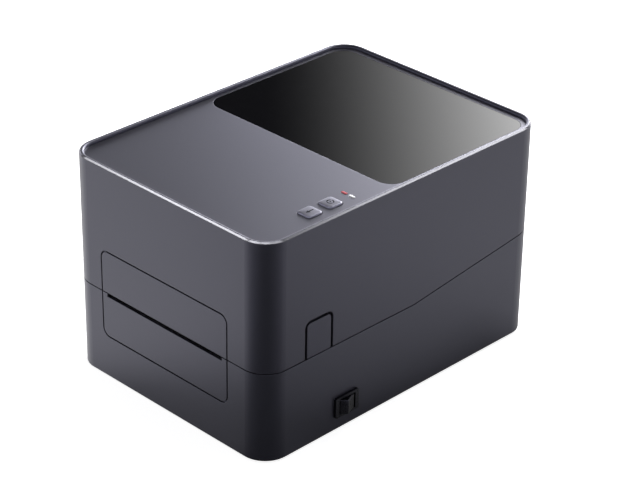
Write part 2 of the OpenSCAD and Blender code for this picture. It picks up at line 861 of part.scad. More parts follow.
// A label guide: upright plate and hub above the deck, rack below it
module label_guide(side) {
    rack_y = roll_y + side * guide_pitch_r;
    foot_y = roll_y + side * rack_offset;
    color("#3a3a40") {
        on_side(side) {
            across_from(guide_face, guide_face + guide_t) difference() {
                translate([roll_y, deck_top + foot_gap / 2 + guide_h / 2])
                    rounded_rect(guide_l, guide_h, 14);
                translate([roll_y, deck_top + roll_rise]) circle(hub_r - hub_t);
            }
            difference() {
                rod_x(hub_r, guide_face - hub_l, guide_face + over, roll_y, deck_top + roll_rise);
                rod_x(hub_r - hub_t, guide_face - hub_l - over, guide_face + guide_t, roll_y,
                      deck_top + roll_rise);
            }
            span([guide_face, foot_y - guide_foot / 2, rack_z + rack_t / 2],
                 [guide_face + guide_t, foot_y + guide_foot / 2, deck_top + 3]);
        }
        translate([0, rack_y, rack_z]) linear_extrude(rack_t)
            mirror([0, side < 0 ? 0 : 1]) polygon(rack_outline(
                side < 0 ? -rack_teeth : -rack_lead - 1,
                side < 0 ? rack_lead : rack_teeth - 1));
        on_side(side)
            span([guide_face - 4, foot_y - rack_back / 2, rack_z],
                 [guide_face + guide_t, foot_y + rack_back / 2, rack_z + rack_t]);
    }
}

module guide_pinion() {
    color("#e6e2d6") translate([0, roll_y, rack_z]) linear_extrude(rack_t) difference() {
        rotate(90) polygon(gear_outline(guide_teeth));
        circle(stud_r + 1 + pin_fit);
    }
}

module main_board() {
    top = board_z + board_t;
    color(green) span([board_x, board_y, board_z], [board_x + board_w, board_y + board_d, top]);
    color(black) {
        span([board_x + 30, board_y + 14, top - 0.2], [board_x + 44, board_y + 28, top + 1.6]);
        span([board_x + 56, board_y + 12, top - 0.2], [board_x + 66, board_y + 20, top + 1.4]);
    }
    color(steel)
        translate([board_x + 14, board_y + 20, top - 0.2]) cylinder(h = 8, r = 4);
}

module dc_inlet() {
    low = board_z + board_t;
    face = half_d - port_recess;
    mid = low + jack_h / 2;
    color(black) translate([-jack_x, 0, 0]) difference() {
        span([-jack_w / 2, face - jack_l, low], [jack_w / 2, face, low + jack_h]);
        translate([0, face + over, mid]) rotate([90, 0, 0])
            cylinder(h = jack_l - 2, r = jack_bore_r);
    }
    color(steel) translate([-jack_x, face - 1, mid]) rotate([90, 0, 0])
        cylinder(h = jack_l - 2, r = jack_pin_r);
}

module data_port() {
    low = board_z + board_t;
    face = half_d - port_recess;
    color(steel) translate([-port_x, 0, 0]) {
        difference() {
            span([-port_w / 2, face - port_l, low], [port_w / 2, face, low + port_h]);
            span([-port_w / 2 + 1.5, face - port_l + 4, low + 1.5],
                 [port_w / 2 - 1.5, face + over, low + port_h - 1.5]);
        }
        span([-2.8, face - port_l + 3, low + 4], [2.8, face - 2, low + port_h - 4]);
    }
}

module half_disc(r) {
    intersection() {
        circle(r);
        translate([-r, 0]) square([2 * r, r]);
    }
}

// Half-round bead along the top edge of the lid
module rim_bead() {
    translate([0, 0, top_z - rim_r]) {
        for (i = [0:3]) {
            x = i == 0 || i == 3 ? 1 : -1;
            y = i < 2 ? 1 : -1;
            translate([x * (half_w - corner_r), y * (half_d - corner_r), 0]) rotate(90 * i)
                rotate_extrude(angle = 90) translate([corner_r - rim_r, 0]) half_disc(rim_r);
        }
        for (s = [-1, 1]) {
            translate([s * (half_w - rim_r), 0, 0]) rotate([90, 0, 0])
                linear_extrude(body_d - 2 * corner_r, center = true) half_disc(rim_r);
            translate([0, s * (half_d - rim_r), 0]) rotate([90, 0, 90])
                linear_extrude(body_w - 2 * corner_r, center = true) half_disc(rim_r);
        }
    }
}

module window_plan(inset) {
    translate([0, (window_front + window_back) / 2])
        rounded_rect(window_w - 2 * inset, window_d - 2 * inset, window_r - inset);
}

module key_plan(grow) {
    rounded_rect(key_size + 2 * grow, key_size + 2 * grow, key_r + grow);
}

module lamp_plan(grow) {
    r = lamp_w / 2 + grow;
    square([lamp_l - lamp_w, 2 * r], center = true);
    for (s = [-1, 1]) translate([s * (lamp_l - lamp_w) / 2, 0]) circle(r);
}

module latch_notch_profile(grow) {
    low = split_front_z - 4;
    high = z0 + latch_top + grow;
    half = latch_w / 2 + grow;
    translate([latch_y - half, low]) square([2 * half, high - low - latch_r - grow]);
    translate([latch_y - half + latch_r + grow, low]) square([2 * (half - latch_r - grow), high - low]);
    for (s = [-1, 1]) translate([latch_y + s * (half - latch_r - grow), high - latch_r - grow])
        circle(latch_r + grow);
}

module hinge_lug() {
    across_from(hinge_x - lug_w / 2, hinge_x + lug_w / 2)
        translate([pivot_y, pivot_z]) {
            rotate(180) half_disc(lug_r);
            translate([-lug_r, 0]) square([2 * lug_r, lug_h]);
        }
}

// Open-bottomed guide box behind a latch button
module latch_guide_box() {
    inner = latch_mid_x - latch_box;
    low = split_front_z + 6;
    high = z0 + latch_top + latch_groove + 3;
    difference() {
        span([inner, latch_y - latch_side - latch_box_t, low],
             [latch_mid_x + over, latch_y + latch_side + latch_box_t, high + latch_box_t]);
        span([inner + latch_box_t, latch_y - latch_side, low - over],
             [latch_mid_x, latch_y + latch_side, high]);
    }
}

module key_board_places() {
    for (x = [-1, 1], y = [key_board_front + 4, key_board_back - 4])
        translate([key_x + x * (key_board_half - 3.5), y, 0]) children();
}

module lid_shell() {
    color(graphite)
    difference() {
        union() {
            difference() {
                intersection() {
                    housing_block(0, z0, top_z - rim_r);
                    across(body_w + 2 * over) lid_profile();
                }
                housing_block(wall, z0, ceiling_z);
                housing_block(2 * rim_r, tray_z, top_z);
            }
            rim_bead();
            key_board_places()
                translate([0, 0, key_board_z + board_t])
                    cylinder(h = key_board_drop - board_t + over, r = boss_r - 1);
            for (side = [-1, 1]) on_side(side) {
                hinge_lug();
                latch_guide_box();
                intersection() {
                    housing_block(wall / 2, z0, ceiling_z);
                    span([half_w - wall - ledge_w, platen_y - beam_w / 2, beam_z + beam_t],
                         [half_w, platen_y + beam_w / 2, beam_z + beam_t + ledge_h]);
                }
            }
        }
        translate([0, 0, ceiling_z - over]) linear_extrude(top_t + 2 * over) window_plan(window_ledge);
        translate([0, 0, tray_z - window_t]) linear_extrude(window_t + over) window_plan(-window_fit);
        for (y = [feed_y, cal_y])
            translate([key_x, y, ceiling_z - over]) linear_extrude(top_t + 2 * over) key_plan(key_gap);
        for (s = [-1, 1])
            translate([lamp_x + s * lamp_pitch / 2, lamp_y, ceiling_z - over])
                linear_extrude(top_t + 2 * over) lamp_plan(lamp_fit);
        on_front(panel_t) panel_outline(0);
        for (side = [-1, 1]) on_side(side) {
            across_from(latch_mid_x - over / 2, half_w + over) latch_notch_profile(latch_groove);
            rod_x(latch_stem_r + stem_fit, latch_mid_x - latch_box - over,
                  latch_mid_x - latch_box + latch_box_t + over, latch_y, stem_z);
            rod_x(hinge_pin_r + pin_fit, hinge_x - lug_w, hinge_x + lug_w, pivot_y, pivot_z);
            translate([half_w - wall - ledge_w / 2, platen_y, beam_z])
                cylinder(h = beam_t + ledge_h - 1, r = screw_r + seat_fit);
        }
    }
}

module lid_front_panel() {
    color(graphite)
    intersection() {
        on_front(panel_t) panel_outline(panel_groove);
        across(body_w) lid_profile();
        span([-half_w, -half_d, z0], [half_w, 0, top_z]);
    }
}

module lid_window() {
    color(black)
        translate([0, 0, tray_z - window_t]) linear_extrude(window_t) window_plan(0);
}

module latch_button(side) {
    low = split_front_z + split_gap;
    high = z0 + latch_top;
    back = latch_mid_x - latch_inner;
    color(graphite) on_side(side) {
        intersection() {
            across_from(back - over / 2, half_w) latch_notch_profile(0);
            span([0, -half_d, low], [half_w, half_d, top_z]);
        }
        span([back - latch_flange, latch_y - latch_w / 2 - latch_lap, low + 0.5],
             [back, latch_y + latch_w / 2 + latch_lap, high + latch_lap]);
        rod_x(latch_stem_r, latch_mid_x - latch_box - 1, back, latch_y, stem_z);
        rod_x(latch_stem_r + 1.5, latch_mid_x - latch_box + latch_box_t + latch_travel + stop_gap,
              back, latch_y, stem_z);
        span([hook_x, latch_y - hook_w / 2, split_front_z - hook_drop],
             [hook_x + hook_t, latch_y + hook_w / 2, low + 4]);
        span([hook_x + hook_t / 2, latch_y - hook_w / 2, low + 1],
             [back, latch_y + hook_w / 2, low + 4]);
        span([hook_x + hook_t / 2, latch_y - hook_w / 2, split_front_z - hook_drop],
             [hook_x + hook_t + hook_nose, latch_y + hook_w / 2, split_front_z - hook_drop + 3]);
    }
}

// A key cap with a domed edge, its stem and its stop flange
module key_cap(y) {
    top = tray_z + key_rise;
    soft = 1;
    reach = key_size / 2 - key_r;
    color(graphite) translate([key_x, y, 0]) {
        translate([0, 0, ceiling_z]) linear_extrude(top_t + 0.3) key_plan(0);
        hull() for (x = [-1, 1], s = [-1, 1]) {
            translate([x * reach, s * reach, tray_z]) cylinder(h = 0.3, r = key_r, $fn = 32);
            translate([x * (reach + key_r - 1.4 * soft), s * (reach + key_r - 1.4 * soft), top - soft])
                intersection() {
                    sphere(soft, $fn = 32);
                    cylinder(h = soft, r = soft, $fn = 32);
                }
        }
        translate([0, 0, ceiling_z - key_flange]) linear_extrude(key_flange) key_plan(1);
        translate([0, 0, key_board_z + board_t + tact_h + tact_gap + key_travel])
            cylinder(h = key_board_drop - board_t - tact_h - tact_gap - key_travel, r = 2.5);
    }
}

module lamp(side) {
    low = key_board_z + board_t + 1;
    translate([lamp_x + side * lamp_pitch / 2, lamp_y, low])
        linear_extrude(tray_z - low) lamp_plan(0);
}

module red_lamp() {
    color("#c06b73") lamp(-1);
}

module white_lamp() {
    color("#f4f4f8") lamp(1);
}

module key_board() {
    top = key_board_z + board_t;
    color(green)
        span([key_x - key_board_half, key_board_front, key_board_z],
             [key_x + key_board_half, key_board_back, top]);
    color(black) for (y = [feed_y, cal_y]) translate([key_x, y, top - 0.2]) {
        translate([-tact_size / 2, -tact_size / 2, 0]) cube([tact_size, tact_size, tact_h - 0.8]);
        cylinder(h = tact_h + 0.2, r = 1.75);
    }
    color("#f4f4f8") for (s = [-1, 1])
        translate([lamp_x + s * lamp_pitch / 2 - 1, lamp_y - 0.8, top - 0.2]) cube([2, 1.6, 1.2]);
}

// Folded steel beam across the lid, above the print head
module head_beam() {
    color(steel)
    difference() {
        union() {
            span([-beam_half, platen_y - beam_w / 2, beam_z],
                 [beam_half, platen_y + beam_w / 2, beam_z + beam_t]);
            for (s = [-1, 1])
                span([-sink_l / 2 - 4, platen_y + min(s * beam_w / 2, s * (beam_w / 2 + beam_t)),
                      beam_z - beam_lip],
                     [sink_l / 2 + 4, platen_y + max(s * beam_w / 2, s * (beam_w / 2 + beam_t)),
                      beam_z + beam_t]);
        }
        for (side = [-1, 1]) {
            translate([side * (half_w - wall - ledge_w / 2), platen_y, beam_z - over])
                cylinder(h = beam_t + 2 * over, r = screw_r + 0.2);
            translate([side * sink_l / 3, platen_y, beam_z - over])
                cylinder(h = beam_t + 2 * over, r = stud_r + stem_fit);
        }
    }
}

module beam_screw(side) {
    color(steel) translate([side * (half_w - wall - ledge_w / 2), platen_y, beam_z])
        mirror([0, 0, 1]) screw(beam_t + ledge_h - 3);
}

// Finned aluminium sink; two studs on it slide in the beam and carry the springs
module heat_sink() {
    fins = 5;
    pitch = sink_w / fins;
    color("#9a9da2")
    difference() {
        span([-sink_l / 2, platen_y - sink_w / 2, sink_z],
             [sink_l / 2, platen_y + sink_w / 2, sink_z + sink_h]);
        for (i = [0:fins - 2])
            span([-sink_l / 2 - over, platen_y - sink_w / 2 + (i + 0.75) * pitch, sink_z + 4],
                 [sink_l / 2 + over, platen_y - sink_w / 2 + (i + 1.25) * pitch, sink_z + sink_h + over]);
    }
    color(steel) for (side = [-1, 1]) translate([side * sink_l / 3, platen_y, 0]) {
        translate([0, 0, sink_z + 3]) cylinder(h = beam_z + beam_t - sink_z - 2.5, r = stud_r);
        translate([0, 0, beam_z + beam_t]) cylinder(h = collar_h, r = spring_r);
        translate([0, 0, sink_z + 3])
            cylinder(h = beam_z - head_travel - stop_gap - sink_z - 3, r = stud_r + 0.4);
    }
}

module head_strip() {
    color("#e9e6dc")
        span([-strip_l / 2, platen_y - strip_w / 2, strip_z],
             [strip_l / 2, platen_y + strip_w / 2, sink_z]);
}

module head_spring(side) {
    color(steel) translate([side * sink_l / 3, platen_y, sink_z + sink_h]) difference() {
        cylinder(h = beam_rise, r = spring_r);
        translate([0, 0, -over]) cylinder(h = beam_rise + 2 * over, r = stud_r + 0.8);
    }
}

base_shell();
base_front_panel();
foot(-1, -1);  // foot_1
foot(1, -1);  // foot_2
foot(-1, 1);  // foot_3
foot(1, 1);  // foot_4
hinge_pin(-1);  // hinge_pin_left
hinge_pin(1);  // hinge_pin_right
power_switch();
power_rocker();
bearing_frame(-1);  // frame_left
bearing_frame(1);  // frame_right
bushing(-1);  // bushing_left
bushing(1);  // bushing_right
idler_stud();
stepper_motor();
motor_screw(-1, -1);  // motor_screw_1
motor_screw(1, -1);  // motor_screw_2
motor_screw(-1, 1);  // motor_screw_3
motor_screw(1, 1);  // motor_screw_4
motor_pinion();
idler_gear();
platen_shaft();
platen_rubber();
platen_gear();
tear_bar();
label_chute();
label_sensor();
media_deck();
deck_screw(-1, boss_front);  // deck_screw_1
deck_screw(1, boss_front);  // deck_screw_2
deck_screw(-1, boss_back);  // deck_screw_3
deck_screw(1, boss_back);  // deck_screw_4
label_guide(-1);  // guide_left
label_guide(1);  // guide_right
guide_pinion();
pinion_screw();
main_board();
dc_inlet();
data_port();
lid_shell();
lid_front_panel();
lid_window();
latch_button(-1);  // latch_left
latch_button(1);  // latch_right
key_cap(feed_y);  // feed_key
key_cap(cal_y);  // cal_key
red_lamp();
white_lamp();
key_board();
head_beam();
beam_screw(-1);  // beam_screw_left
beam_screw(1);  // beam_screw_right
heat_sink();
head_strip();
head_spring(-1);  // head_spring_left
head_spring(1);  // head_spring_right
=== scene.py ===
# Thermal label printer: finishes, small parts, lights and camera round the CAD frame.
import json
import math

import bmesh
import bpy
from mathutils import Matrix, Vector


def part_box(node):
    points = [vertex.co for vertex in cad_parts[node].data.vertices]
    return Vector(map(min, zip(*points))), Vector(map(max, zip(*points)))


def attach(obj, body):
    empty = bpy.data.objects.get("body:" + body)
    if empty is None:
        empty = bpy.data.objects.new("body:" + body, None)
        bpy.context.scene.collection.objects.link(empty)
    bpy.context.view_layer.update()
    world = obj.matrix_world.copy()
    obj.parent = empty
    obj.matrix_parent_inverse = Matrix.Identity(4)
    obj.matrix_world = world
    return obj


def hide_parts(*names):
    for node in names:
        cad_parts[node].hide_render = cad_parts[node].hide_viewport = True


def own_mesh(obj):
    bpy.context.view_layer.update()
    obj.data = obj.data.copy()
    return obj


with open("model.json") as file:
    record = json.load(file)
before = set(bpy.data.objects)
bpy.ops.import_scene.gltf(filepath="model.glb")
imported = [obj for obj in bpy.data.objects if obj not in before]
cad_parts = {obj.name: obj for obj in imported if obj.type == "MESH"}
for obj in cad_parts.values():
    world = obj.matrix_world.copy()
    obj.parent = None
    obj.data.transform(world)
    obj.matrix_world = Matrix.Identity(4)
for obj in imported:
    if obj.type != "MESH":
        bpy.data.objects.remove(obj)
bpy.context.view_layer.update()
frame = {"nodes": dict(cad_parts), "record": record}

nodes = frame["nodes"]
mm = 0.001


# Node helpers

def linear(hexColour):
    channels = [int(hexColour[i:i + 2], 16) / 255 for i in (1, 3, 5)]
    return [c / 12.92 if c <= 0.04045 else ((c + 0.055) / 1.055) ** 2.4 for c in channels] + [1]


def addNode(tree, kind, settings=None, links=None):
    # settings name a property or a socket; links name a socket and say (node, its output)
    node = tree.nodes.new(kind)
    for name, value in (settings or {}).items():
        if isinstance(name, int) or name in node.inputs:
            node.inputs[name].default_value = value
        else:
            setattr(node, name, value)
    for name, (source, output) in (links or {}).items():
        tree.links.new(source.outputs[output], node.inputs[name])
    return node


def emptyMaterial(name):
    material = bpy.data.materials.new(name)
    material.use_nodes = True
    material.node_tree.nodes.clear()
    return material, material.node_tree


def finishMaterial(tree, shader, output="BSDF"):
    addNode(tree, "ShaderNodeOutputMaterial", {}, {"Surface": (shader, output)})


def grainCloud(tree, sizeMm, stretch=(1, 1, 1), detail=2.0):
    # noise in the object's own coordinates, whose blobs are sizeMm across; stretch draws them out
    place = addNode(tree, "ShaderNodeTexCoord")
    scaled = addNode(tree, "ShaderNodeMapping", {"Scale": [1 / s for s in stretch]},
                     {"Vector": (place, "Object")})
    return addNode(tree, "ShaderNodeTexNoise", {"Scale": 1 / (sizeMm * mm), "Detail": detail},
                   {"Vector": (scaled, 0)})


def mixColours(tree, dark, light, mask, output="Fac"):
    return addNode(tree, "ShaderNodeMix", {"data_type": "RGBA", 6: linear(dark), 7: linear(light)},
                   {0: (mask, output)})


def softBump(tree, height, output, depthMm, edgeMm):
    # relief on top of edges that are broken by edgeMm
    edge = addNode(tree, "ShaderNodeBevel", {"samples": 4, "Radius": edgeMm * mm})
    return addNode(tree, "ShaderNodeBump", {"Strength": 1.0, "Distance": depthMm * mm},
                   {"Height": (height, output), "Normal": (edge, "Normal")})


# how far the roughness wanders to each side of a finish's own
glossSpread = {"moulded": 0.03, "worked": 0.06}


def moulded(name, look):
    # plastic or rubber from a tool: slow tone change round its flow lines, fine texture, softened edges
    material, tree = emptyMaterial(name)
    colour = mixColours(tree, look["dark"], look["light"], grainCloud(tree, look["patchMm"], detail=3.0))
    grain = grainCloud(tree, look["grainMm"], look.get("stretch", (1, 1, 1)))
    bump = softBump(tree, grain, "Fac", look["depthMm"], look["edgeMm"])
    spread = glossSpread["moulded"]
    gloss = addNode(tree, "ShaderNodeMapRange",
                    {"To Min": look["roughness"] - spread, "To Max": look["roughness"] + spread},
                    {"Value": (grain, "Fac")})
    shader = addNode(tree, "ShaderNodeBsdfPrincipled",
                     {"IOR": look["ior"], "Specular IOR Level": look.get("level", 0.5),
                      "Specular Tint": linear(look.get("sheen", "#ffffff"))},
                     {"Base Color": (colour, 2), "Roughness": (gloss, 0), "Normal": (bump, "Normal")})
    finishMaterial(tree, shader)
    return material


def worked(name, look):
    # bare metal: marks of its making drawn out along stretch, and a cloudy change of gloss
    material, tree = emptyMaterial(name)
    marks = grainCloud(tree, look["markMm"], look["stretch"], 3.0)
    cloud = grainCloud(tree, look["patchMm"])
    colour = mixColours(tree, look["dark"], look["light"], marks)
    bump = softBump(tree, marks, "Fac", look["depthMm"], look["edgeMm"])
    spread = glossSpread["worked"]
    gloss = addNode(tree, "ShaderNodeMapRange",
                    {"To Min": look["roughness"] - spread, "To Max": look["roughness"] + spread},
                    {"Value": (cloud, "Fac")})
    shader = addNode(tree, "ShaderNodeBsdfPrincipled", {"Metallic": 1.0},
                     {"Base Color": (colour, 2), "Roughness": (gloss, 0), "Normal": (bump, "Normal")})
    finishMaterial(tree, shader)
    return material


# Finishes of the housing

# ABS moulded in a spark-eroded tool: dark violet grey, satin, broad soft highlights
graphiteAbs = moulded("graphiteAbs", {
    "dark": "#26262b", "light": "#29292e", "patchMm": 60, "grainMm": 0.9, "depthMm": 0.006,
    "edgeMm": 0.5, "roughness": 0.37, "ior": 1.5, "sheen": "#d6d5f6", "level": 0.66})
# The same ABS from a finer tool, for keys and latches that a finger polishes: a touch smoother
satinAbs = moulded("satinAbs", {
    "dark": "#26262b", "light": "#2a2a2f", "patchMm": 25, "grainMm": 0.7, "depthMm": 0.003,
    "edgeMm": 0.3, "roughness": 0.33, "ior": 1.5, "sheen": "#d2d1f6", "level": 0.62})
# The rim's edge, the same ABS from a polished part of the tool: glossy; its paler colour is a painted
# highlight
rimAbs = moulded("rimAbs", {
    "dark": "#3a3a40", "light": "#404046", "patchMm": 25, "grainMm": 0.7, "depthMm": 0.002,
    "edgeMm": 0.1, "roughness": 0.24, "ior": 1.5, "sheen": "#eeeef8", "level": 0.9})
# Key caps of the same ABS in a paler grey, with the finer tool's smoothness
keyAbs = moulded("keyAbs", {
    "dark": "#56565d", "light": "#5a5a61", "patchMm": 25, "grainMm": 0.7, "depthMm": 0.003,
    "edgeMm": 0.3, "roughness": 0.34, "ior": 1.5, "sheen": "#d2d1f6", "level": 0.62})
# Tinted acrylic, cast and polished: nearly black, mirrors the softboxes
smokedAcrylic = moulded("smokedAcrylic", {
    "dark": "#08080a", "light": "#09090b", "patchMm": 80, "grainMm": 9, "depthMm": 0.002,
    "edgeMm": 0.3, "roughness": 0.05, "ior": 1.49, "level": 0.37})
# Polyamide moulded in a polished tool: glossy black with sharp edge lights
blackPolyamide = moulded("blackPolyamide", {
    "dark": "#09090a", "light": "#0c0c0d", "patchMm": 20, "grainMm": 1.0, "depthMm": 0.002,
    "edgeMm": 0.3, "roughness": 0.28, "ior": 1.53, "level": 0.36, "sheen": "#d8d8f2"})
# Polyurethane foot rubber, moulded: dull, a little dusty
footRubber = moulded("footRubber", {
    "dark": "#131314", "light": "#1b1b1c", "patchMm": 6, "grainMm": 0.5, "depthMm": 0.02,
    "edgeMm": 0.3, "roughness": 0.75, "ior": 1.5})
# Nitrile rubber, ground true on its shaft: matt, with faint rings from the wheel
groundRubber = moulded("groundRubber", {
    "dark": "#111112", "light": "#18181a", "patchMm": 15, "grainMm": 0.8, "depthMm": 0.015,
    "stretch": (1, 40, 40), "edgeMm": 0.4, "roughness": 0.62, "ior": 1.52})
# Glass-filled polycarbonate inside the bay: dark, matt, streaked by its fibres
innerPlastic = moulded("glassFilledPolycarbonate", {
    "dark": "#1b1b1f", "light": "#232327", "patchMm": 30, "grainMm": 0.7, "depthMm": 0.015,
    "stretch": (3, 1, 1), "edgeMm": 0.4, "roughness": 0.5, "ior": 1.58})
# Acetal, machined by hobbing or moulded: milky white, waxy gloss
acetal = moulded("acetal", {
    "dark": "#d3cfc2", "light": "#ddd9cd", "patchMm": 8, "grainMm": 0.6, "depthMm": 0.004,
    "edgeMm": 0.15, "roughness": 0.35, "ior": 1.48})
# PBT of sockets and switches, moulded: black, semi-gloss
socketPlastic = moulded("socketPolyester", {
    "dark": "#101011", "light": "#161617", "patchMm": 5, "grainMm": 0.4, "depthMm": 0.006,
    "edgeMm": 0.15, "roughness": 0.4, "ior": 1.57})
# Nylon of wire headers, moulded: ivory, semi-gloss
headerNylon = moulded("headerNylon", {
    "dark": "#d9d4c3", "light": "#e2decf", "patchMm": 4, "grainMm": 0.4, "depthMm": 0.004,
    "edgeMm": 0.1, "roughness": 0.42, "ior": 1.53})
# Epoxy of chip packages, transfer moulded: charcoal, finely pitted
chipEpoxy = moulded("chipEpoxy", {
    "dark": "#1a1a1b", "light": "#202021", "patchMm": 4, "grainMm": 0.3, "depthMm": 0.01,
    "edgeMm": 0.1, "roughness": 0.55, "ior": 1.55})
# Pad-printing ink: flat dark grey, on the key tops
padInk = moulded("padInk", {
    "dark": "#1c1c21", "light": "#232328", "patchMm": 2, "grainMm": 0.3, "depthMm": 0.002,
    "edgeMm": 0.02, "roughness": 0.85, "ior": 1.5, "level": 0.12})
# Acrylic light pipes, moulded with a frosted top: the colour shows through as a soft even glow
redLens = moulded("redDiffuser", {
    "dark": "#b8464f", "light": "#c25059", "patchMm": 3, "grainMm": 0.4, "depthMm": 0.004,
    "edgeMm": 0.15, "roughness": 0.6, "ior": 1.49, "level": 0.25})
whiteLens = moulded("whiteDiffuser", {
    "dark": "#efeff2", "light": "#f6f6f8", "patchMm": 3, "grainMm": 0.4, "depthMm": 0.004,
    "edgeMm": 0.15, "roughness": 0.4, "ior": 1.49})

# Finishes of the mechanism

# Cold-rolled steel, zinc plated: cool grey, long faint roll marks, cloudy gloss
zincSteel = worked("zincPlatedSteel", {
    "dark": "#a3a6aa", "light": "#bcbfc3", "markMm": 0.5, "stretch": (30, 30, 1), "patchMm": 9,
    "depthMm": 0.006, "edgeMm": 0.2, "roughness": 0.36})
# Steel turned and ground on a lathe: bright, with fine rings round the shaft
groundSteel = worked("groundSteel", {
    "dark": "#b0b2b5", "light": "#c9cbce", "markMm": 0.35, "stretch": (1, 60, 60), "patchMm": 12,
    "depthMm": 0.004, "edgeMm": 0.25, "roughness": 0.2})
# Stainless strip, ground at the teeth: bright grey, upright scratches
bladeSteel = worked("bladeSteel", {
    "dark": "#a9abae", "light": "#c4c6c9", "markMm": 0.3, "stretch": (1, 1, 30), "patchMm": 8,
    "depthMm": 0.004, "edgeMm": 0.1, "roughness": 0.27})
# Spring wire, drawn: grey, lengthwise die marks too fine to show, so drawn as soft blotches
springWire = worked("springWire", {
    "dark": "#8f9296", "light": "#b4b7bb", "markMm": 0.6, "stretch": (1, 1, 1), "patchMm": 3,
    "depthMm": 0.002, "edgeMm": 0.05, "roughness": 0.3})
# Bronze pressed and sintered from powder: dull gold brown, open pores filled with oil
sinteredBronze = worked("sinteredBronze", {
    "dark": "#8a6b3c", "light": "#b8935a", "markMm": 0.3, "stretch": (1, 1, 1), "patchMm": 4,
    "depthMm": 0.02, "edgeMm": 0.2, "roughness": 0.45})
# Aluminium extruded and clear anodised: pale grey satin, straight die lines along its length
anodisedAluminium = worked("anodisedAluminium", {
    "dark": "#a2a4a8", "light": "#b4b6ba", "markMm": 0.4, "stretch": (80, 1, 1), "patchMm": 20,
    "depthMm": 0.006, "edgeMm": 0.2, "roughness": 0.34})
# Tin-plated contacts and solder: soft bright grey
tinPlate = worked("tinPlate", {
    "dark": "#b3b3b0", "light": "#cfcfcc", "markMm": 0.4, "stretch": (1, 1, 1), "patchMm": 2,
    "depthMm": 0.006, "edgeMm": 0.1, "roughness": 0.3})


def solderMask():
    # glass-epoxy board under green lacquer: copper tracks show as a lighter net, semi-gloss
    look = {"bare": "#12402a", "track": "#1d5a3a", "pitchMm": 2.54, "trackMm": 0.45, "depthMm": 0.03,
            "edgeMm": 0.1, "roughness": 0.32, "ior": 1.55}
    material, tree = emptyMaterial("solderMask")
    place = addNode(tree, "ShaderNodeTexCoord")
    tracks = addNode(tree, "ShaderNodeTexBrick",
                     {"offset": 0.37, "offset_frequency": 3, "squash": 1.6, "squash_frequency": 2,
                      "Scale": 1 / mm, "Mortar Size": look["trackMm"] / 2, "Mortar Smooth": 0.1,
                      "Brick Width": 5 * look["pitchMm"], "Row Height": look["pitchMm"]},
                     {"Vector": (place, "Object")})
    colour = mixColours(tree, look["bare"], look["track"], tracks)
    bump = softBump(tree, tracks, "Fac", look["depthMm"], look["edgeMm"])
    shader = addNode(tree, "ShaderNodeBsdfPrincipled", {"Roughness": look["roughness"], "IOR": look["ior"]},
                     {"Base Color": (colour, 2), "Normal": (bump, "Normal")})
    finishMaterial(tree, shader)
    return material


def motorCase():
    # stack of punched steel sheets between two die-cast end caps, dipped in black enamel
    look = {"stack": "#151518", "cap": "#1d1d20", "sheetMm": 0.5, "capMm": 6.0, "depthMm": 0.25,
            "edgeMm": 0.4, "roughness": 0.42, "ior": 1.52}
    low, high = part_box("stepper_motor")
    cap, sheet = look["capMm"] * mm, look["sheetMm"] * mm
    stackLow, stackHigh = low[0] + cap, high[0] - cap
    material, tree = emptyMaterial("enamelledMotor")
    place = addNode(tree, "ShaderNodeTexCoord")
    split = addNode(tree, "ShaderNodeSeparateXYZ", {}, {0: (place, "Object")})
    after = addNode(tree, "ShaderNodeMath", {"operation": "GREATER_THAN", 1: stackLow}, {0: (split, "X")})
    before = addNode(tree, "ShaderNodeMath", {"operation": "LESS_THAN", 1: stackHigh}, {0: (split, "X")})
    inStack = addNode(tree, "ShaderNodeMath", {"operation": "MULTIPLY"}, {0: (after, 0), 1: (before, 0)})
    sheets = addNode(tree, "ShaderNodeMath", {"operation": "PINGPONG", 1: sheet}, {0: (split, "X")})
    relief = addNode(tree, "ShaderNodeMath", {"operation": "MULTIPLY"}, {0: (sheets, 0), 1: (inStack, 0)})
    height = addNode(tree, "ShaderNodeMath", {"operation": "MULTIPLY", 1: 0.5 / sheet}, {0: (relief, 0)})
    colour = mixColours(tree, look["cap"], look["stack"], inStack, 0)
    bump = softBump(tree, height, 0, look["depthMm"], look["edgeMm"])
    shader = addNode(tree, "ShaderNodeBsdfPrincipled", {"Roughness": look["roughness"], "IOR": look["ior"]},
                     {"Base Color": (colour, 2), "Normal": (bump, "Normal")})
    finishMaterial(tree, shader)
    return material


def glazedCeramic():
    # alumina strip under a glass glaze: off-white, glossy, with the dark heater line along its middle
    look = {"body": "#e3ded0", "glaze": "#4a3a30", "bandMm": 2.4, "grainMm": 3, "depthMm": 0.004,
            "edgeMm": 0.2, "roughness": 0.16, "ior": 1.62}
    low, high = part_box("head_strip")
    middle = (low[1] + high[1]) / 2
    material, tree = emptyMaterial("glazedCeramic")
    place = addNode(tree, "ShaderNodeTexCoord")
    split = addNode(tree, "ShaderNodeSeparateXYZ", {}, {0: (place, "Object")})
    away = addNode(tree, "ShaderNodeMath", {"operation": "SUBTRACT", 1: middle}, {0: (split, "Y")})
    side = addNode(tree, "ShaderNodeMath", {"operation": "ABSOLUTE"}, {0: (away, 0)})
    reach = look["bandMm"] / 2 * mm
    band = addNode(tree, "ShaderNodeMath", {"operation": "LESS_THAN", 1: reach}, {0: (side, 0)})
    colour = mixColours(tree, look["body"], look["glaze"], band, 0)
    bump = softBump(tree, grainCloud(tree, look["grainMm"]), "Fac", look["depthMm"], look["edgeMm"])
    shader = addNode(tree, "ShaderNodeBsdfPrincipled", {"Roughness": look["roughness"], "IOR": look["ior"]},
                     {"Base Color": (colour, 2), "Normal": (bump, "Normal")})
    finishMaterial(tree, shader)
    return material


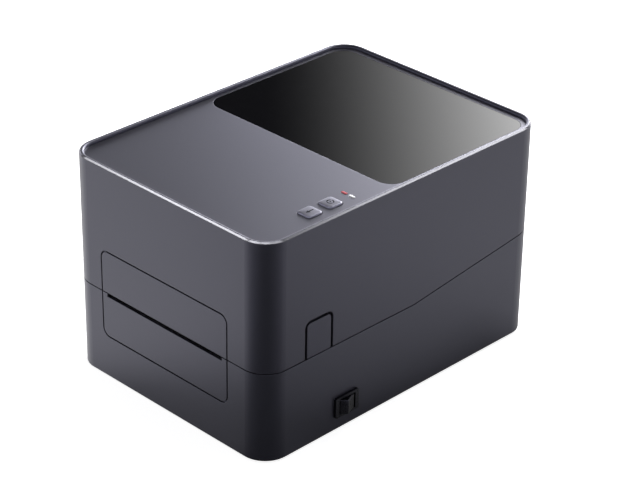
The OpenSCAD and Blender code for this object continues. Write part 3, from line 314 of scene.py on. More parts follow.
finishes = {
    "graphite_shell": graphiteAbs, "graphite_panel": graphiteAbs, "graphite_button": satinAbs,
    "smoked_window": smokedAcrylic, "black_rubber": footRubber, "black_gloss": blackPolyamide,
    "steel": zincSteel, "bronze": sinteredBronze, "acetal": acetal, "motor_case": motorCase(),
    "inner_plastic": innerPlastic, "board": solderMask(), "socket_plastic": socketPlastic,
    "sink": anodisedAluminium, "strip": glazedCeramic(), "red_lens": redLens, "white_lens": whiteLens}
# nodes whose making differs from the rest of their slot
ownFinish = {"platen_rubber": groundRubber, "platen_shaft": groundSteel, "hinge_pin_left": groundSteel,
             "hinge_pin_right": groundSteel, "idler_stud": groundSteel, "tear_bar": bladeSteel}

for part in frame["record"]["subparts"]:
    data = nodes[part["node"]].data
    data.materials.clear()
    data.materials.append(ownFinish.get(part["node"], finishes[part["material_slot"]]))
print("finishes done")


# Mesh helpers, all in millimetres

def toAxis(place, direction):
    # stands a shape that was drawn along Z at place, pointing along direction
    turn = Vector((0, 0, 1)).rotation_difference(Vector(direction))
    return Matrix.Translation(place) @ turn.to_matrix().to_4x4()


def addBox(shape, low, high, softMm):
    centre, span = (Vector(low) + Vector(high)) / 2, Vector(high) - Vector(low)
    box = bmesh.new()
    bmesh.ops.create_cube(box, size=1, matrix=Matrix.Translation(centre) @ Matrix.Diagonal((*span, 1)))
    if softMm:
        bmesh.ops.bevel(box, geom=box.edges[:], offset=softMm, segments=2, profile=0.5, affect="EDGES")
    joinShape(shape, box)


def addBlock(shape, middle, half, heights, softMm):
    # box round a middle, by half its width and depth, between two heights
    (x, y), (w, d), (bottom, top) = middle, half, heights
    addBox(shape, (x - w, y - d, bottom), (x + w, y + d, top), softMm)


def joinShape(shape, part, matrix=None):
    mesh = bpy.data.meshes.new("part")
    part.to_mesh(mesh)
    part.free()
    if matrix:
        mesh.transform(matrix)
    shape.from_mesh(mesh)
    bpy.data.meshes.remove(mesh)


def skin(part, rows):
    # faces between neighbouring outlines of equal length
    count = len(rows[0])
    for lower, upper in zip(rows, rows[1:]):
        for i in range(count):
            j = (i + 1) % count
            part.faces.new((lower[i], lower[j], upper[j], upper[i]))


def addStack(shape, rings, matrix=None):
    # skin through outlines of equal length, closed at both ends
    part = bmesh.new()
    rows = [[part.verts.new(point) for point in ring] for ring in rings]
    skin(part, rows)
    part.faces.new(list(reversed(rows[0])))
    part.faces.new(rows[-1])
    joinShape(shape, part, matrix)


needleMm = 0.01  # least radius of a turned shape, so that none ends in a point


def addTurned(shape, profile, matrix=None, steps=32):
    # profile of (radius, height) pairs turned about Z
    turns = [2 * math.pi * i / steps for i in range(steps)]
    rings = [[(max(r, needleMm) * math.cos(a), max(r, needleMm) * math.sin(a), z) for a in turns]
             for r, z in profile]
    addStack(shape, rings, matrix)


def addTube(shape, path, radius, matrix=None, steps=10):
    # round wire along a path that winds about Z
    turns = [2 * math.pi * k / steps for k in range(steps)]
    rings = []
    for i, point in enumerate(path):
        ahead = path[min(i + 1, len(path) - 1)] - path[max(i - 1, 0)]
        up = ahead.cross(Vector((point.x, point.y, 0))).normalized()
        out = up.cross(ahead).normalized()
        rings.append([point + radius * (out * math.cos(a) + up * math.sin(a)) for a in turns])
    addStack(shape, rings, matrix)


def roundedOutline(width, depth, radius, z, steps=6, middle=(0, 0)):
    points = []
    for quarter, (sx, sy) in enumerate([(1, 1), (-1, 1), (-1, -1), (1, -1)]):
        for i in range(steps + 1):
            turn = math.pi / 2 * (quarter + i / steps)
            points.append((middle[0] + sx * (width / 2 - radius) + radius * math.cos(turn),
                           middle[1] + sy * (depth / 2 - radius) + radius * math.sin(turn), z))
    return points


def carve(shape, cutter):
    # takes cutter out of shape and returns what is left
    pieces = []
    for part in (shape, cutter):
        mesh = bpy.data.meshes.new("carving")
        bmesh.ops.recalc_face_normals(part, faces=part.faces)
        part.to_mesh(mesh)
        part.free()
        piece = bpy.data.objects.new("carving", mesh)
        bpy.context.scene.collection.objects.link(piece)
        pieces.append(piece)
    cut = pieces[0].modifiers.new("cut", "BOOLEAN")
    cut.operation, cut.solver, cut.object = "DIFFERENCE", "EXACT", pieces[1]
    bpy.context.view_layer.update()
    result = bmesh.new()
    result.from_object(pieces[0], bpy.context.evaluated_depsgraph_get())
    for piece in pieces:
        bpy.data.objects.remove(piece)
    return result


sharpDegrees = 38  # a fold sharper than this stays an edge


def placePiece(name, shape, material, body, stands=()):
    # turns a shape in millimetres into a piece that rides on its body
    mesh = bpy.data.meshes.new(name)
    bmesh.ops.recalc_face_normals(shape, faces=shape.faces)
    bmesh.ops.scale(shape, vec=(mm, mm, mm), verts=shape.verts)
    shape.to_mesh(mesh)
    shape.free()
    mesh.shade_smooth()
    mesh.set_sharp_from_angle(angle=math.radians(sharpDegrees))
    mesh.materials.append(material)
    piece = bpy.data.objects.new(name, mesh)
    bpy.context.scene.collection.objects.link(piece)
    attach(piece, body)
    if stands:
        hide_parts(*stands)
    return piece


def boxMm(node):
    low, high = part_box(node)
    return Vector(low) / mm, Vector(high) / mm


def middleXY(node):
    low, high = boxMm(node)
    return (low.x + high.x) / 2, (low.y + high.y) / 2


# the housing's own sizes, for what is fitted to it
bodyMm = {"side": 92.0, "front": -127.5, "back": 127.5, "corner": 18.0, "wall": 2.5, "ceiling": 153.0}
roundShare = 0.3  # where a small rounding crosses its diagonal, as a share of its radius


# Smooth edge round the raised rim of the lid

rimLook = {"beadMm": 1.7, "topMm": 158.5, "steps": 12,
           # section outwards and up from the middle of the bead: its inner corners are buried in the bead
           "section": [(1.0, 0.2), (1.66, 0.2), (1.684, 0.5), (1.68, 0.75), (0.75, 1.68), (0.5, 1.684),
                       (0.2, 1.66), (0.2, 1.0)]}


def makeRimEdge():
    bead, middle = rimLook["beadMm"], rimLook["topMm"] - rimLook["beadMm"]
    part = bmesh.new()
    loops = []
    for out, up in rimLook["section"]:
        grow = out - bead
        loop = roundedOutline(2 * bodyMm["side"] + 2 * grow, bodyMm["back"] - bodyMm["front"] + 2 * grow,
                              bodyMm["corner"] + out - bead, middle + up, rimLook["steps"])
        loops.append([part.verts.new(point) for point in loop])
    skin(part, loops + loops[:1])
    # the rim edge's paler colour is a painted highlight
    placePiece("rimEdge", part, rimAbs, "lid")


makeRimEdge()
print("rim done")


# Keys and lamps in the lid

keyLook = {"cornerMm": 2.6, "riseMm": 1.3, "crownMm": 0.16, "stemMm": 2.5,
           # the flange that keeps the key in: thickness, how far it stands out, and the lid's wall above it
           "flangeMm": 1.2, "lipMm": 1, "lidWallMm": 3, "sinkMm": 0.1,
           # rounding of the cap's edge: how far in from the side, and how far below the crown
           "edge": [(0.0, 1.0), (0.15, 0.7), (0.4, 0.38), (0.7, 0.14), (1.0, 0.03), (1.2, 0.0)],
           # rings of the crown, as shares of the way from its middle to its edge
           "crown": (0.8, 0.6, 0.4, 0.2, 0.04)}


def keyCap(shape, node):
    low, high = boxMm(node)
    x, y = middleXY(node)
    corner, flange = keyLook["cornerMm"], high.x - low.x
    width = flange - 2 * keyLook["lipMm"]
    ceiling = high.z - keyLook["riseMm"] - keyLook["lidWallMm"]
    edgeTop = high.z - keyLook["crownMm"]
    rings = [roundedOutline(width, width, corner, ceiling - keyLook["sinkMm"], middle=(x, y))]
    for inset, drop in keyLook["edge"]:
        side = width - 2 * inset
        rings.append(roundedOutline(side, side, corner - inset, edgeTop - drop, middle=(x, y)))
    edge = rings[-1]
    for share in keyLook["crown"]:
        z = edgeTop + keyLook["crownMm"] * (1 - share ** 2)
        rings.append([(x + (px - x) * share, y + (py - y) * share, z) for px, py, pz in edge])
    addStack(shape, rings)
    addStack(shape, [roundedOutline(flange, flange, corner + keyLook["lipMm"], z, middle=(x, y))
                     for z in (ceiling - keyLook["flangeMm"], ceiling)])
    stem = keyLook["stemMm"]
    addTurned(shape, [(stem, low.z), (stem, ceiling)], Matrix.Translation((x, y, 0)))
    return Vector((x, y, edgeTop))


# ink on a key: reach is from the key's middle to where its crown ends
markLook = {"inkMm": 0.06, "sinkMm": 0.02, "reachMm": 5.3,
            # arrow
            "lengthMm": 6.4, "shaftMm": 1.0, "headMm": 2.6, "headShare": 0.62,
            # broken ring round a dot: radius, line, and where each arc starts, in degrees
            "ringMm": 2.6, "lineMm": 0.85, "starts": (10, 130, 250), "arc": 100, "dotMm": 0.6}


def crownHeight(offset):
    # height of the crown above its own edge, offset millimetres from the key's middle
    return keyLook["crownMm"] * (1 - min(1, offset / markLook["reachMm"]) ** 2)


def printOnKey(shape, middle, outline):
    # a thin inked area on the crowned key top
    base = [(middle.x + px, middle.y + py, middle.z + crownHeight(max(abs(px), abs(py))) - markLook["sinkMm"])
            for px, py in outline]
    top = [(px, py, pz + markLook["inkMm"]) for px, py, pz in base]
    addStack(shape, [base, top])


def arrowOutline():
    # plain arrow pointing to the front, the way that the labels leave
    half, head = markLook["lengthMm"] / 2, markLook["headMm"]
    w, side = markLook["shaftMm"] / 2, head * markLook["headShare"]
    return [(-w, half), (-w, head - half), (-side, head - half), (0, -half), (side, head - half),
            (w, head - half), (w, half)]


def ringSector(inner, outer, start, end, steps=16):
    # part of a ring, between two angles in degrees
    turns = [math.radians(start + (end - start) * i / steps) for i in range(steps + 1)]
    return [(outer * math.cos(a), outer * math.sin(a)) for a in turns] + \
           [(inner * math.cos(a), inner * math.sin(a)) for a in reversed(turns)]


def makeKeys():
    for node, body in (("feed_key", "feed_button"), ("cal_key", "cal_button")):
        cap, ink = bmesh.new(), bmesh.new()
        middle = keyCap(cap, node)
        if node == "feed_key":
            printOnKey(ink, middle, arrowOutline())
        else:
            ring, dot = markLook["ringMm"], markLook["dotMm"]
            inner = ring - markLook["lineMm"]
            for start in markLook["starts"]:
                printOnKey(ink, middle, ringSector(inner, ring, start, start + markLook["arc"]))
            turns = [a * math.pi / 6 for a in range(12)]
            printOnKey(ink, middle, [(dot * math.cos(a), dot * math.sin(a)) for a in turns])
        placePiece(node.replace("_key", "KeyCap"), cap, keyAbs, body, [node])
        placePiece(node.replace("_key", "KeyMark"), ink, padInk, body)


# rounding of a lens: how far in from its side, and how far above the lid's face
lampLook = {"edge": [(0.0, 0.0), (0.1, 0.16), (0.35, 0.28), (0.7, 0.34), (0.95, 0.35)], "steps": 8}


def makeLamps():
    for node, lens, slotName in (("red_lamp", redLens, "red_lens"), ("white_lamp", whiteLens, "white_lens")):
        low, high = boxMm(node)
        length, width = high.x - low.x, high.y - low.y
        middle, steps = middleXY(node), lampLook["steps"]
        rings = [roundedOutline(length, width, width / 2, low.z, steps, middle)]
        for inset, rise in lampLook["edge"]:
            rings.append(roundedOutline(length - 2 * inset, width - 2 * inset, width / 2 - inset,
                                        high.z + rise, steps, middle))
        shape = bmesh.new()
        addStack(shape, rings)
        placePiece(node.replace("_lamp", "LampLens"), shape, lens, "lid", [node])


makeKeys()
makeLamps()
print("keys and lamps done")


# Power rocker

rockerLook = {"baseMm": 1.6, "reachMm": 6.5, "flatMm": 4.3, "riseMm": 4.2, "dishMm": 0.3, "softMm": 0.5,
              "tilt": 20.0, "pinMm": 0.9, "pinRadiusMm": 1.0, "steps": 8}


def ridge(side, soft):
    # the rounded corner between the flat top and one slope, from the slope inwards
    flat, rise, reach = rockerLook["flatMm"], rockerLook["riseMm"], rockerLook["reachMm"]
    corner, foot = Vector((rise, side * flat)), Vector((0, side * reach))
    onSlope = corner + (foot - corner).normalized() * soft
    onTop = corner - Vector((0, side * soft))
    return [onSlope, corner * 0.5 + (onSlope + onTop) * 0.25, onTop]


def makeRocker():
    low, high = boxMm("power_rocker")
    switchLow, switchHigh = boxMm("power_switch")
    pivot = Vector((bodyMm["side"], (switchLow.y + switchHigh.y) / 2, (low.z + high.z) / 2))
    width = high.z - low.z - 2 * rockerLook["pinMm"]
    base, reach, soft = rockerLook["baseMm"], rockerLook["reachMm"], rockerLook["softMm"]
    flat = rockerLook["flatMm"] - soft
    outline = [Vector((-base, -reach)), Vector((0, -reach))] + ridge(-1, soft)
    for i in range(1, rockerLook["steps"]):
        across = flat * (2 * i / rockerLook["steps"] - 1)
        dish = rockerLook["dishMm"] * (1 - (across / flat) ** 2)
        outline.append(Vector((rockerLook["riseMm"] - dish, across)))
    outline += ridge(1, soft)[::-1] + [Vector((0, reach)), Vector((-base, reach))]
    rings = []
    mid = soft * roundShare
    for inset, height in ((soft, 0), (mid, mid), (0, soft),
                          (0, width - soft), (mid, width - mid), (soft, width)):
        z = height - width / 2
        rings.append([(p.x - inset if p.x > 0 else p.x, p.y * (1 - inset / reach), z) for p in outline])
    part = bmesh.new()
    addStack(part, rings)
    pin, pinEnd = rockerLook["pinRadiusMm"], width / 2 + rockerLook["pinMm"]
    addTurned(part, [(pin, -pinEnd), (pin, pinEnd)])
    shape = bmesh.new()
    turn = Matrix.Rotation(math.radians(rockerLook["tilt"]), 4, "Z")
    joinShape(shape, part, Matrix.Translation(pivot) @ turn)
    placePiece("rockerCap", shape, blackPolyamide, "rocker", ["power_rocker"])


makeRocker()
print("switch done")


# Feet, screws and springs

footLook = {"softMm": 0.5, "ringMm": (4.0, 4.5), "grooveMm": 0.4}


def makeFeet():
    for number in range(1, 5):
        low, high = boxMm(f"foot_{number}")
        r, soft, groove = (high.x - low.x) / 2, footLook["softMm"], footLook["grooveMm"]
        inner, outer = footLook["ringMm"]
        mid = soft * roundShare
        profile = [(0, groove), (inner, groove), (outer, 0), (r - soft, 0), (r - mid, mid), (r, soft),
                   (r, high.z), (0, high.z)]
        shape = bmesh.new()
        addTurned(shape, profile, Matrix.Translation((*middleXY(f"foot_{number}"), 0)), steps=48)
        placePiece(f"rubberFoot{number}", shape, footRubber, "base", [f"foot_{number}"])


screwLook = {"headMm": 1.6, "shankMm": 1.4, "tipMm": 0.6, "tipShare": 0.6, "pitchMm": 0.8, "threadMm": 0.25,
             "seatShare": 0.97,
             # pan head: share of the head's radius, and share of its height
             "dome": [(1.0, 0.05), (1.0, 0.35), (0.95, 0.6), (0.85, 0.8), (0.68, 0.93), (0.4, 1.0), (0, 1.0)],
             # cross recess: blade width, depth, half length as a share of the head's radius; it narrows in
             # width and length to a share at its floor, from a share that it has just above its mouth
             "bladeMm": 0.75, "recessMm": 1.0, "reachShare": 0.55, "floorShare": 0.55, "mouthShare": 1.1,
             "mouthMm": 0.3}
# which way each kind's head faces, and its body
screwFaces = {"deck_screw": ((0, 0, 1), "base"), "beam_screw": ((0, 0, -1), "lid"),
              "motor_screw": ((-1, 0, 0), "base"), "pinion_screw": ((0, 0, -1), "base")}


def crossScrew(headR, length):
    # screw along Z with its head's seat at zero
    look = screwLook
    shank, head, tip, pitch = look["shankMm"], look["headMm"], look["tipMm"], look["pitchMm"]
    profile = [(0, -length), (shank * look["tipShare"], -length), (shank, tip - length)]
    turns = int((length - 2 * tip) / pitch)
    for i in range(turns):
        z = tip - length + i * pitch
        profile += [(shank - look["threadMm"], z + pitch * 0.5), (shank, z + pitch)]
    profile += [(shank, 0), (headR * look["seatShare"], 0)] + [(headR * r, head * z) for r, z in look["dome"]]
    body = bmesh.new()
    addTurned(body, profile, steps=24)
    blade, reach = look["bladeMm"] / 2, headR * look["reachShare"]
    ends = ((head - look["recessMm"], look["floorShare"]), (head + look["mouthMm"], look["mouthShare"]))
    corners = ((-1, -1), (1, -1), (1, 1), (-1, 1))
    for quarter in (0, math.pi / 2):
        # one slot at a time, because a cutter that crosses itself leaves nothing
        slit = bmesh.new()
        rings = [[(sx * reach * share, sy * blade * share, z) for sx, sy in corners] for z, share in ends]
        addStack(slit, rings, Matrix.Rotation(quarter, 4, "Z"))
        body = carve(body, slit)
    return body


def makeScrews():
    for node in sorted(nodes):
        kind = next((k for k in screwFaces if node.startswith(k)), None)
        if not kind:
            continue
        direction, body = screwFaces[kind]
        low, high = boxMm(node)
        facing = Vector(direction)
        middle = (low + high) / 2
        length = abs((high - low).dot(facing))
        across = (high - low) - Vector([abs(c) for c in facing]) * length
        seat = middle + facing * (length / 2 - screwLook["headMm"])
        shape = bmesh.new()
        joinShape(shape, crossScrew(max(across) / 2, length - screwLook["headMm"]), toAxis(seat, direction))
        placePiece(node.replace("_", "") + "Steel", shape, zincSteel, body, [node])


springLook = {"wireMm": 0.45, "coils": 5, "steps": 20, "endTurns": 1.0, "keep": 0.833}


def makeSprings():
    for side in ("left", "right"):
        low, high = boxMm(f"head_spring_{side}")
        wire = springLook["wireMm"]
        radius = (high.x - low.x) / 2 - wire
        count = springLook["coils"] * springLook["steps"]
        bottom, top = low.z + wire, high.z - wire
        closed = springLook["endTurns"] / springLook["coils"]
        path = []
        for i in range(count + 1):
            share = i / count
            inner = min(1, max(0, (share - closed) / (1 - 2 * closed)))
            ends = min(1, share / closed) + max(0, (share - 1 + closed) / closed)
            rise = inner * (top - bottom - 4 * wire) + 2 * wire * ends
            turn = 2 * math.pi * springLook["coils"] * share
            path.append(Vector((radius * math.cos(turn), radius * math.sin(turn), bottom + rise)))
        shape = bmesh.new()
        addTube(shape, path, wire, Matrix.Translation((*middleXY(f"head_spring_{side}"), 0)))
        spring = placePiece(f"headSpring{side.title()}", shape, springWire, "lid",
                            [f"head_spring_{side}"])
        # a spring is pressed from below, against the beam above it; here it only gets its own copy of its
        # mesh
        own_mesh(spring)


makeFeet()
makeScrews()
makeSprings()
print("feet, screws and springs done")


# Ribs inside the lid and the base, moulded with them

ribLook = {"thickMm": 1.6, "deepMm": 5, "softMm": 0.3, "sinkMm": 0.5,
           # under the lid's top: ribs that run back up to the window, and ribs that run across it
           "backX": (-66, -33, 0, 33), "backTo": -44, "acrossY": (-92, -44), "acrossTo": 48,
           # down the side walls: the lid's from a height up to its ceiling, the base's between two heights
           "wallY": (-20, 20, 60, 100), "wallDeepMm": 3.0, "lidFrom": 84, "baseZ": (3.5, 60)}


def addWallRibs(shape, bottom, top):
    half, t = bodyMm["side"] - bodyMm["wall"], ribLook["thickMm"] / 2
    for side in (-1, 1):
        for y in ribLook["wallY"]:
            low, high = sorted((side * (half - ribLook["wallDeepMm"]), side * (half + ribLook["sinkMm"])))
            addBox(shape, (low, y - t, bottom), (high, y + t, top), ribLook["softMm"])


def makeRibs():
    half, front = bodyMm["side"] - bodyMm["wall"], bodyMm["front"] + bodyMm["wall"]
    t, sink, soft = ribLook["thickMm"] / 2, ribLook["sinkMm"], ribLook["softMm"]
    bottom, top = bodyMm["ceiling"] - ribLook["deepMm"], bodyMm["ceiling"] + sink
    lid = bmesh.new()
    for x in ribLook["backX"]:
        addBox(lid, (x - t, front - sink, bottom), (x + t, ribLook["backTo"], top), soft)
    for y in ribLook["acrossY"]:
        addBox(lid, (-half - sink, y - t, bottom), (ribLook["acrossTo"], y + t, top), soft)
    addWallRibs(lid, ribLook["lidFrom"], top)
    placePiece("lidRibs", lid, graphiteAbs, "lid")
    base = bmesh.new()
    addWallRibs(base, *ribLook["baseZ"])
    placePiece("baseRibs", base, graphiteAbs, "base")


makeRibs()
print("ribs done")


# Boards, sockets and marks inside the bay

boardLook = {"thickMm": 1.6, "softMm": 0.1,
             # package: corner offset from the board's own corner, size, height
             "chips": [((30, 14), (14, 14), 1.6), ((56, 12), (10, 8), 1.4), ((52, 30), (5, 4), 1.3),
                       ((12, 34), (5, 4), 1.3), ((66, 26), (6.5, 6), 2.2)],
             "chipSoftMm": 0.25, "chipLiftMm": 0.1,
             # its legs: width, pitch, length left free of them, thickness, reach out and in under the package
             "legMm": 0.35, "legPitchMm": 1.27, "legFreeMm": 1, "legThickMm": 0.25, "legOutMm": 1.2,
             "legInMm": 0.3,
             # can: middle offset, radius, height; its side from the board up, as (share of radius, height)
             "cans": [((14, 20), 4, 7.8), ((24, 32), 2.5, 5.6), ((74, 16), 3.1, 6.6)],
             "canSide": [(0.96, 0), (1, 0.4), (1, 1.2), (0.92, 1.6), (1, 2.0)],
             "canEdgeMm": 0.5, "canTopShare": 0.9,
             # wire header: corner offset, length, depth, height
             "headers": [((8, 4), 14, 5.5, 6), ((28, 4), 9, 5.5, 6), ((46, 4), 18, 5.5, 6)],
             "shroudMm": 0.8, "shroudFloorMm": 1.2,
             # its posts: half the side, pitch, first one, length left free, how far below the shroud's top
             "postHalf": (0.3, 0.3), "postPitchMm": 2.54, "postFirstMm": 2, "postFreeMm": 3, "postBelowMm": 1}


def addHeader(shape, posts, corner, size, z):
    # open-topped shroud of a wire header, with a row of posts in it
    look = boardLook
    x, y = corner
    length, depth, height = size
    wall = look["shroudMm"]
    addBox(shape, (x, y, z), (x + length, y + depth, z + look["shroudFloorMm"]), look["softMm"])
    for low, high in (((x, y), (x + length, y + wall)), ((x, y + depth - wall), (x + length, y + depth)),
                      ((x, y), (x + wall, y + depth)), ((x + length - wall, y), (x + length, y + depth))):
        addBox(shape, (*low, z), (*high, z + height), look["softMm"])
    for i in range(int((length - look["postFreeMm"]) / look["postPitchMm"]) + 1):
        middle = (x + look["postFirstMm"] + i * look["postPitchMm"], y + depth / 2)
        addBlock(posts, middle, look["postHalf"], (z, z + height - look["postBelowMm"]), 0)


def addLegs(shape, corner, size, z):
    # a row of legs down each side of a package
    look = boardLook
    (x, y), (w, d) = corner, size
    half, outwards, inwards = look["legMm"] / 2, look["legOutMm"], look["legInMm"]
    count = int((d - look["legFreeMm"]) / look["legPitchMm"])
    for i in range(count):
        middle = y + d / 2 + (i - (count - 1) / 2) * look["legPitchMm"]
        for a, b in ((x - outwards, x + inwards), (x + w - inwards, x + w + outwards)):
            addBox(shape, (a, middle - half, z), (b, middle + half, z + look["legThickMm"]), 0)


def makeMainBoard():
    low, high = boxMm("main_board")
    top, look = low.z + boardLook["thickMm"], boardLook
    panel, chips, pins, cans, headers = (bmesh.new() for _ in range(5))
    addBox(panel, low, (high.x, high.y, top), look["softMm"])
    for (x, y), (w, d), h in look["chips"]:
        x, y = low.x + x, low.y + y
        addBox(chips, (x, y, top + look["chipLiftMm"]), (x + w, y + d, top + h), look["chipSoftMm"])
        addLegs(pins, (x, y), (w, d), top)
    for (x, y), r, h in look["cans"]:
        profile = [(r * share, z) for share, z in look["canSide"]]
        profile += [(r, h - look["canEdgeMm"]), (r * look["canTopShare"], h)]
        addTurned(cans, profile, Matrix.Translation((low.x + x, low.y + y, top)))
    for (x, y), *size in look["headers"]:
        addHeader(headers, pins, (low.x + x, low.y + y), size, top)
    placePiece("mainBoardPanel", panel, finishes["board"], "base", ["main_board"])
    placePiece("mainBoardChips", chips, chipEpoxy, "base")
    placePiece("mainBoardPins", pins, tinPlate, "base")
    placePiece("mainBoardCans", cans, anodisedAluminium, "base")
    placePiece("mainBoardHeaders", headers, headerNylon, "base")


keyBoardLook = {
    # tact switch: half its side and its height, then its plunger as radius and height above the board
    "switchHalf": (3, 3), "switchMm": 2.5, "switchSoftMm": 0.25,
    "plunger": [(1.75, 2.3), (1.75, 3.2), (1.5, 3.5)],
    # lamp: half its sides and its height
    "lampHalf": (1, 0.8), "lampMm": 0.9, "lampSoftMm": 0.15}


def makeKeyBoard():
    low, high = boxMm("key_board")
    top, look = low.z + boardLook["thickMm"], keyBoardLook
    panel, bodies, plungers, lights = (bmesh.new() for _ in range(4))
    addBox(panel, low, (high.x, high.y, top), boardLook["softMm"])
    for node in ("feed_key", "cal_key"):
        x, y = middleXY(node)
        addBlock(bodies, (x, y), look["switchHalf"], (top, top + look["switchMm"]), look["switchSoftMm"])
        profile = [(r, top + z) for r, z in look["plunger"]]
        addTurned(plungers, profile, Matrix.Translation((x, y, 0)), steps=24)
    for node in ("red_lamp", "white_lamp"):
        addBlock(lights, middleXY(node), look["lampHalf"], (top, top + look["lampMm"]), look["lampSoftMm"])
    placePiece("keyBoardPanel", panel, finishes["board"], "lid", ["key_board"])
    placePiece("keyBoardSwitches", bodies, tinPlate, "lid")
    placePiece("keyBoardPlungers", plungers, socketPlastic, "lid")
    placePiece("keyBoardLights", lights, whiteLens, "lid")


scaleLook = {"firstMm": 10, "lastMm": 50, "stepMm": 5, "longEveryMm": 10, "longMm": 4.0, "shortMm": 2.4,
             "lineMm": 0.35, "edgeMm": 1, "inkMm": 0.05, "sinkMm": 0.02}


def makeScale():
    # printed scale of label widths along the front edge of the deck
    low, high = boxMm("media_deck")
    marks = bmesh.new()
    look = scaleLook
    half, near = look["lineMm"] / 2, low.y + look["edgeMm"]
    for i in range((look["lastMm"] - look["firstMm"]) // look["stepMm"] + 1):
        x = look["firstMm"] + i * look["stepMm"]
        length = look["longMm"] if x % look["longEveryMm"] == 0 else look["shortMm"]
        for side in (-x, x):
            addBox(marks, (side - half, near, high.z - look["sinkMm"]),
                   (side + half, near + length, high.z + look["inkMm"]), 0)
    placePiece("deckScale", marks, headerNylon, "base")


makeMainBoard()
makeKeyBoard()
makeScale()
print("boards and scale done")


# Stage: floor, world, softboxes and camera

camLook = {"azimuth": 44.72, "elevation": 28.88, "roll": 0.85, "lens": 128.94, "sensor": 36.0,
           "place": (0.9354, -0.9375, 0.8072)}


def cameraAxes():
    a, e, r = (math.radians(camLook[k]) for k in ("azimuth", "elevation", "roll"))
    back = Vector((math.sin(a) * math.cos(e), -math.cos(a) * math.cos(e), math.sin(e)))
    right = Vector((math.cos(a), math.sin(a), 0))
    up = back.cross(right)
    return right * math.cos(r) + up * math.sin(r), up * math.cos(r) - right * math.sin(r), back


def makeCamera():
    data = bpy.data.cameras.new("camera")
    data.sensor_width = camLook["sensor"]
    data.lens = camLook["lens"]
    data.clip_start = 0.01
    camera = bpy.data.objects.new("camera", data)
    right, up, back = cameraAxes()
    turn = Matrix((right, up, back)).transposed().to_4x4()
    camera.matrix_world = Matrix.Translation(camLook["place"]) @ turn
    bpy.context.scene.collection.objects.link(camera)
    bpy.context.scene.camera = camera


floorLook = {
    "colour": "#d8d8da", "glow": 0.87, "cardTop": 1.7,
    # what the satin walls mirror in the floor: millimetres to the right of the camera's line, and level
    "card": [(-200, 1.7), (-170, 1.55), (-150, 1.28), (-135, 0.93), (-118, 0.6), (-90, 0.47), (-50, 0.36),
             (-10, 0.2), (30, 0.26), (80, 0.52), (165, 0.75), (190, 0.86), (250, 1.02), (300, 1.05)],
    # painted shade: a dark wedge of the mirrored floor starts at the rounded front corner and opens away from
    # the printer
    "wedge": (0.08, -0.1155), "wedgeAim": (0.652, -0.758), "wedgeEdge": -0.07, "wedgeDark": 0.19,
    # painted shadow: close beside the right wall the mirrored floor is dimmed as if in the wall's shade;
    # metres along the wall where that starts and ends
    "shadeMm": 46, "shade": 0.36, "shadeStart": (-0.1, 0.0), "shadeEnd": (0.06, 0.13),
    # metres from the middle to the floor's edges
    "half": 6.0}


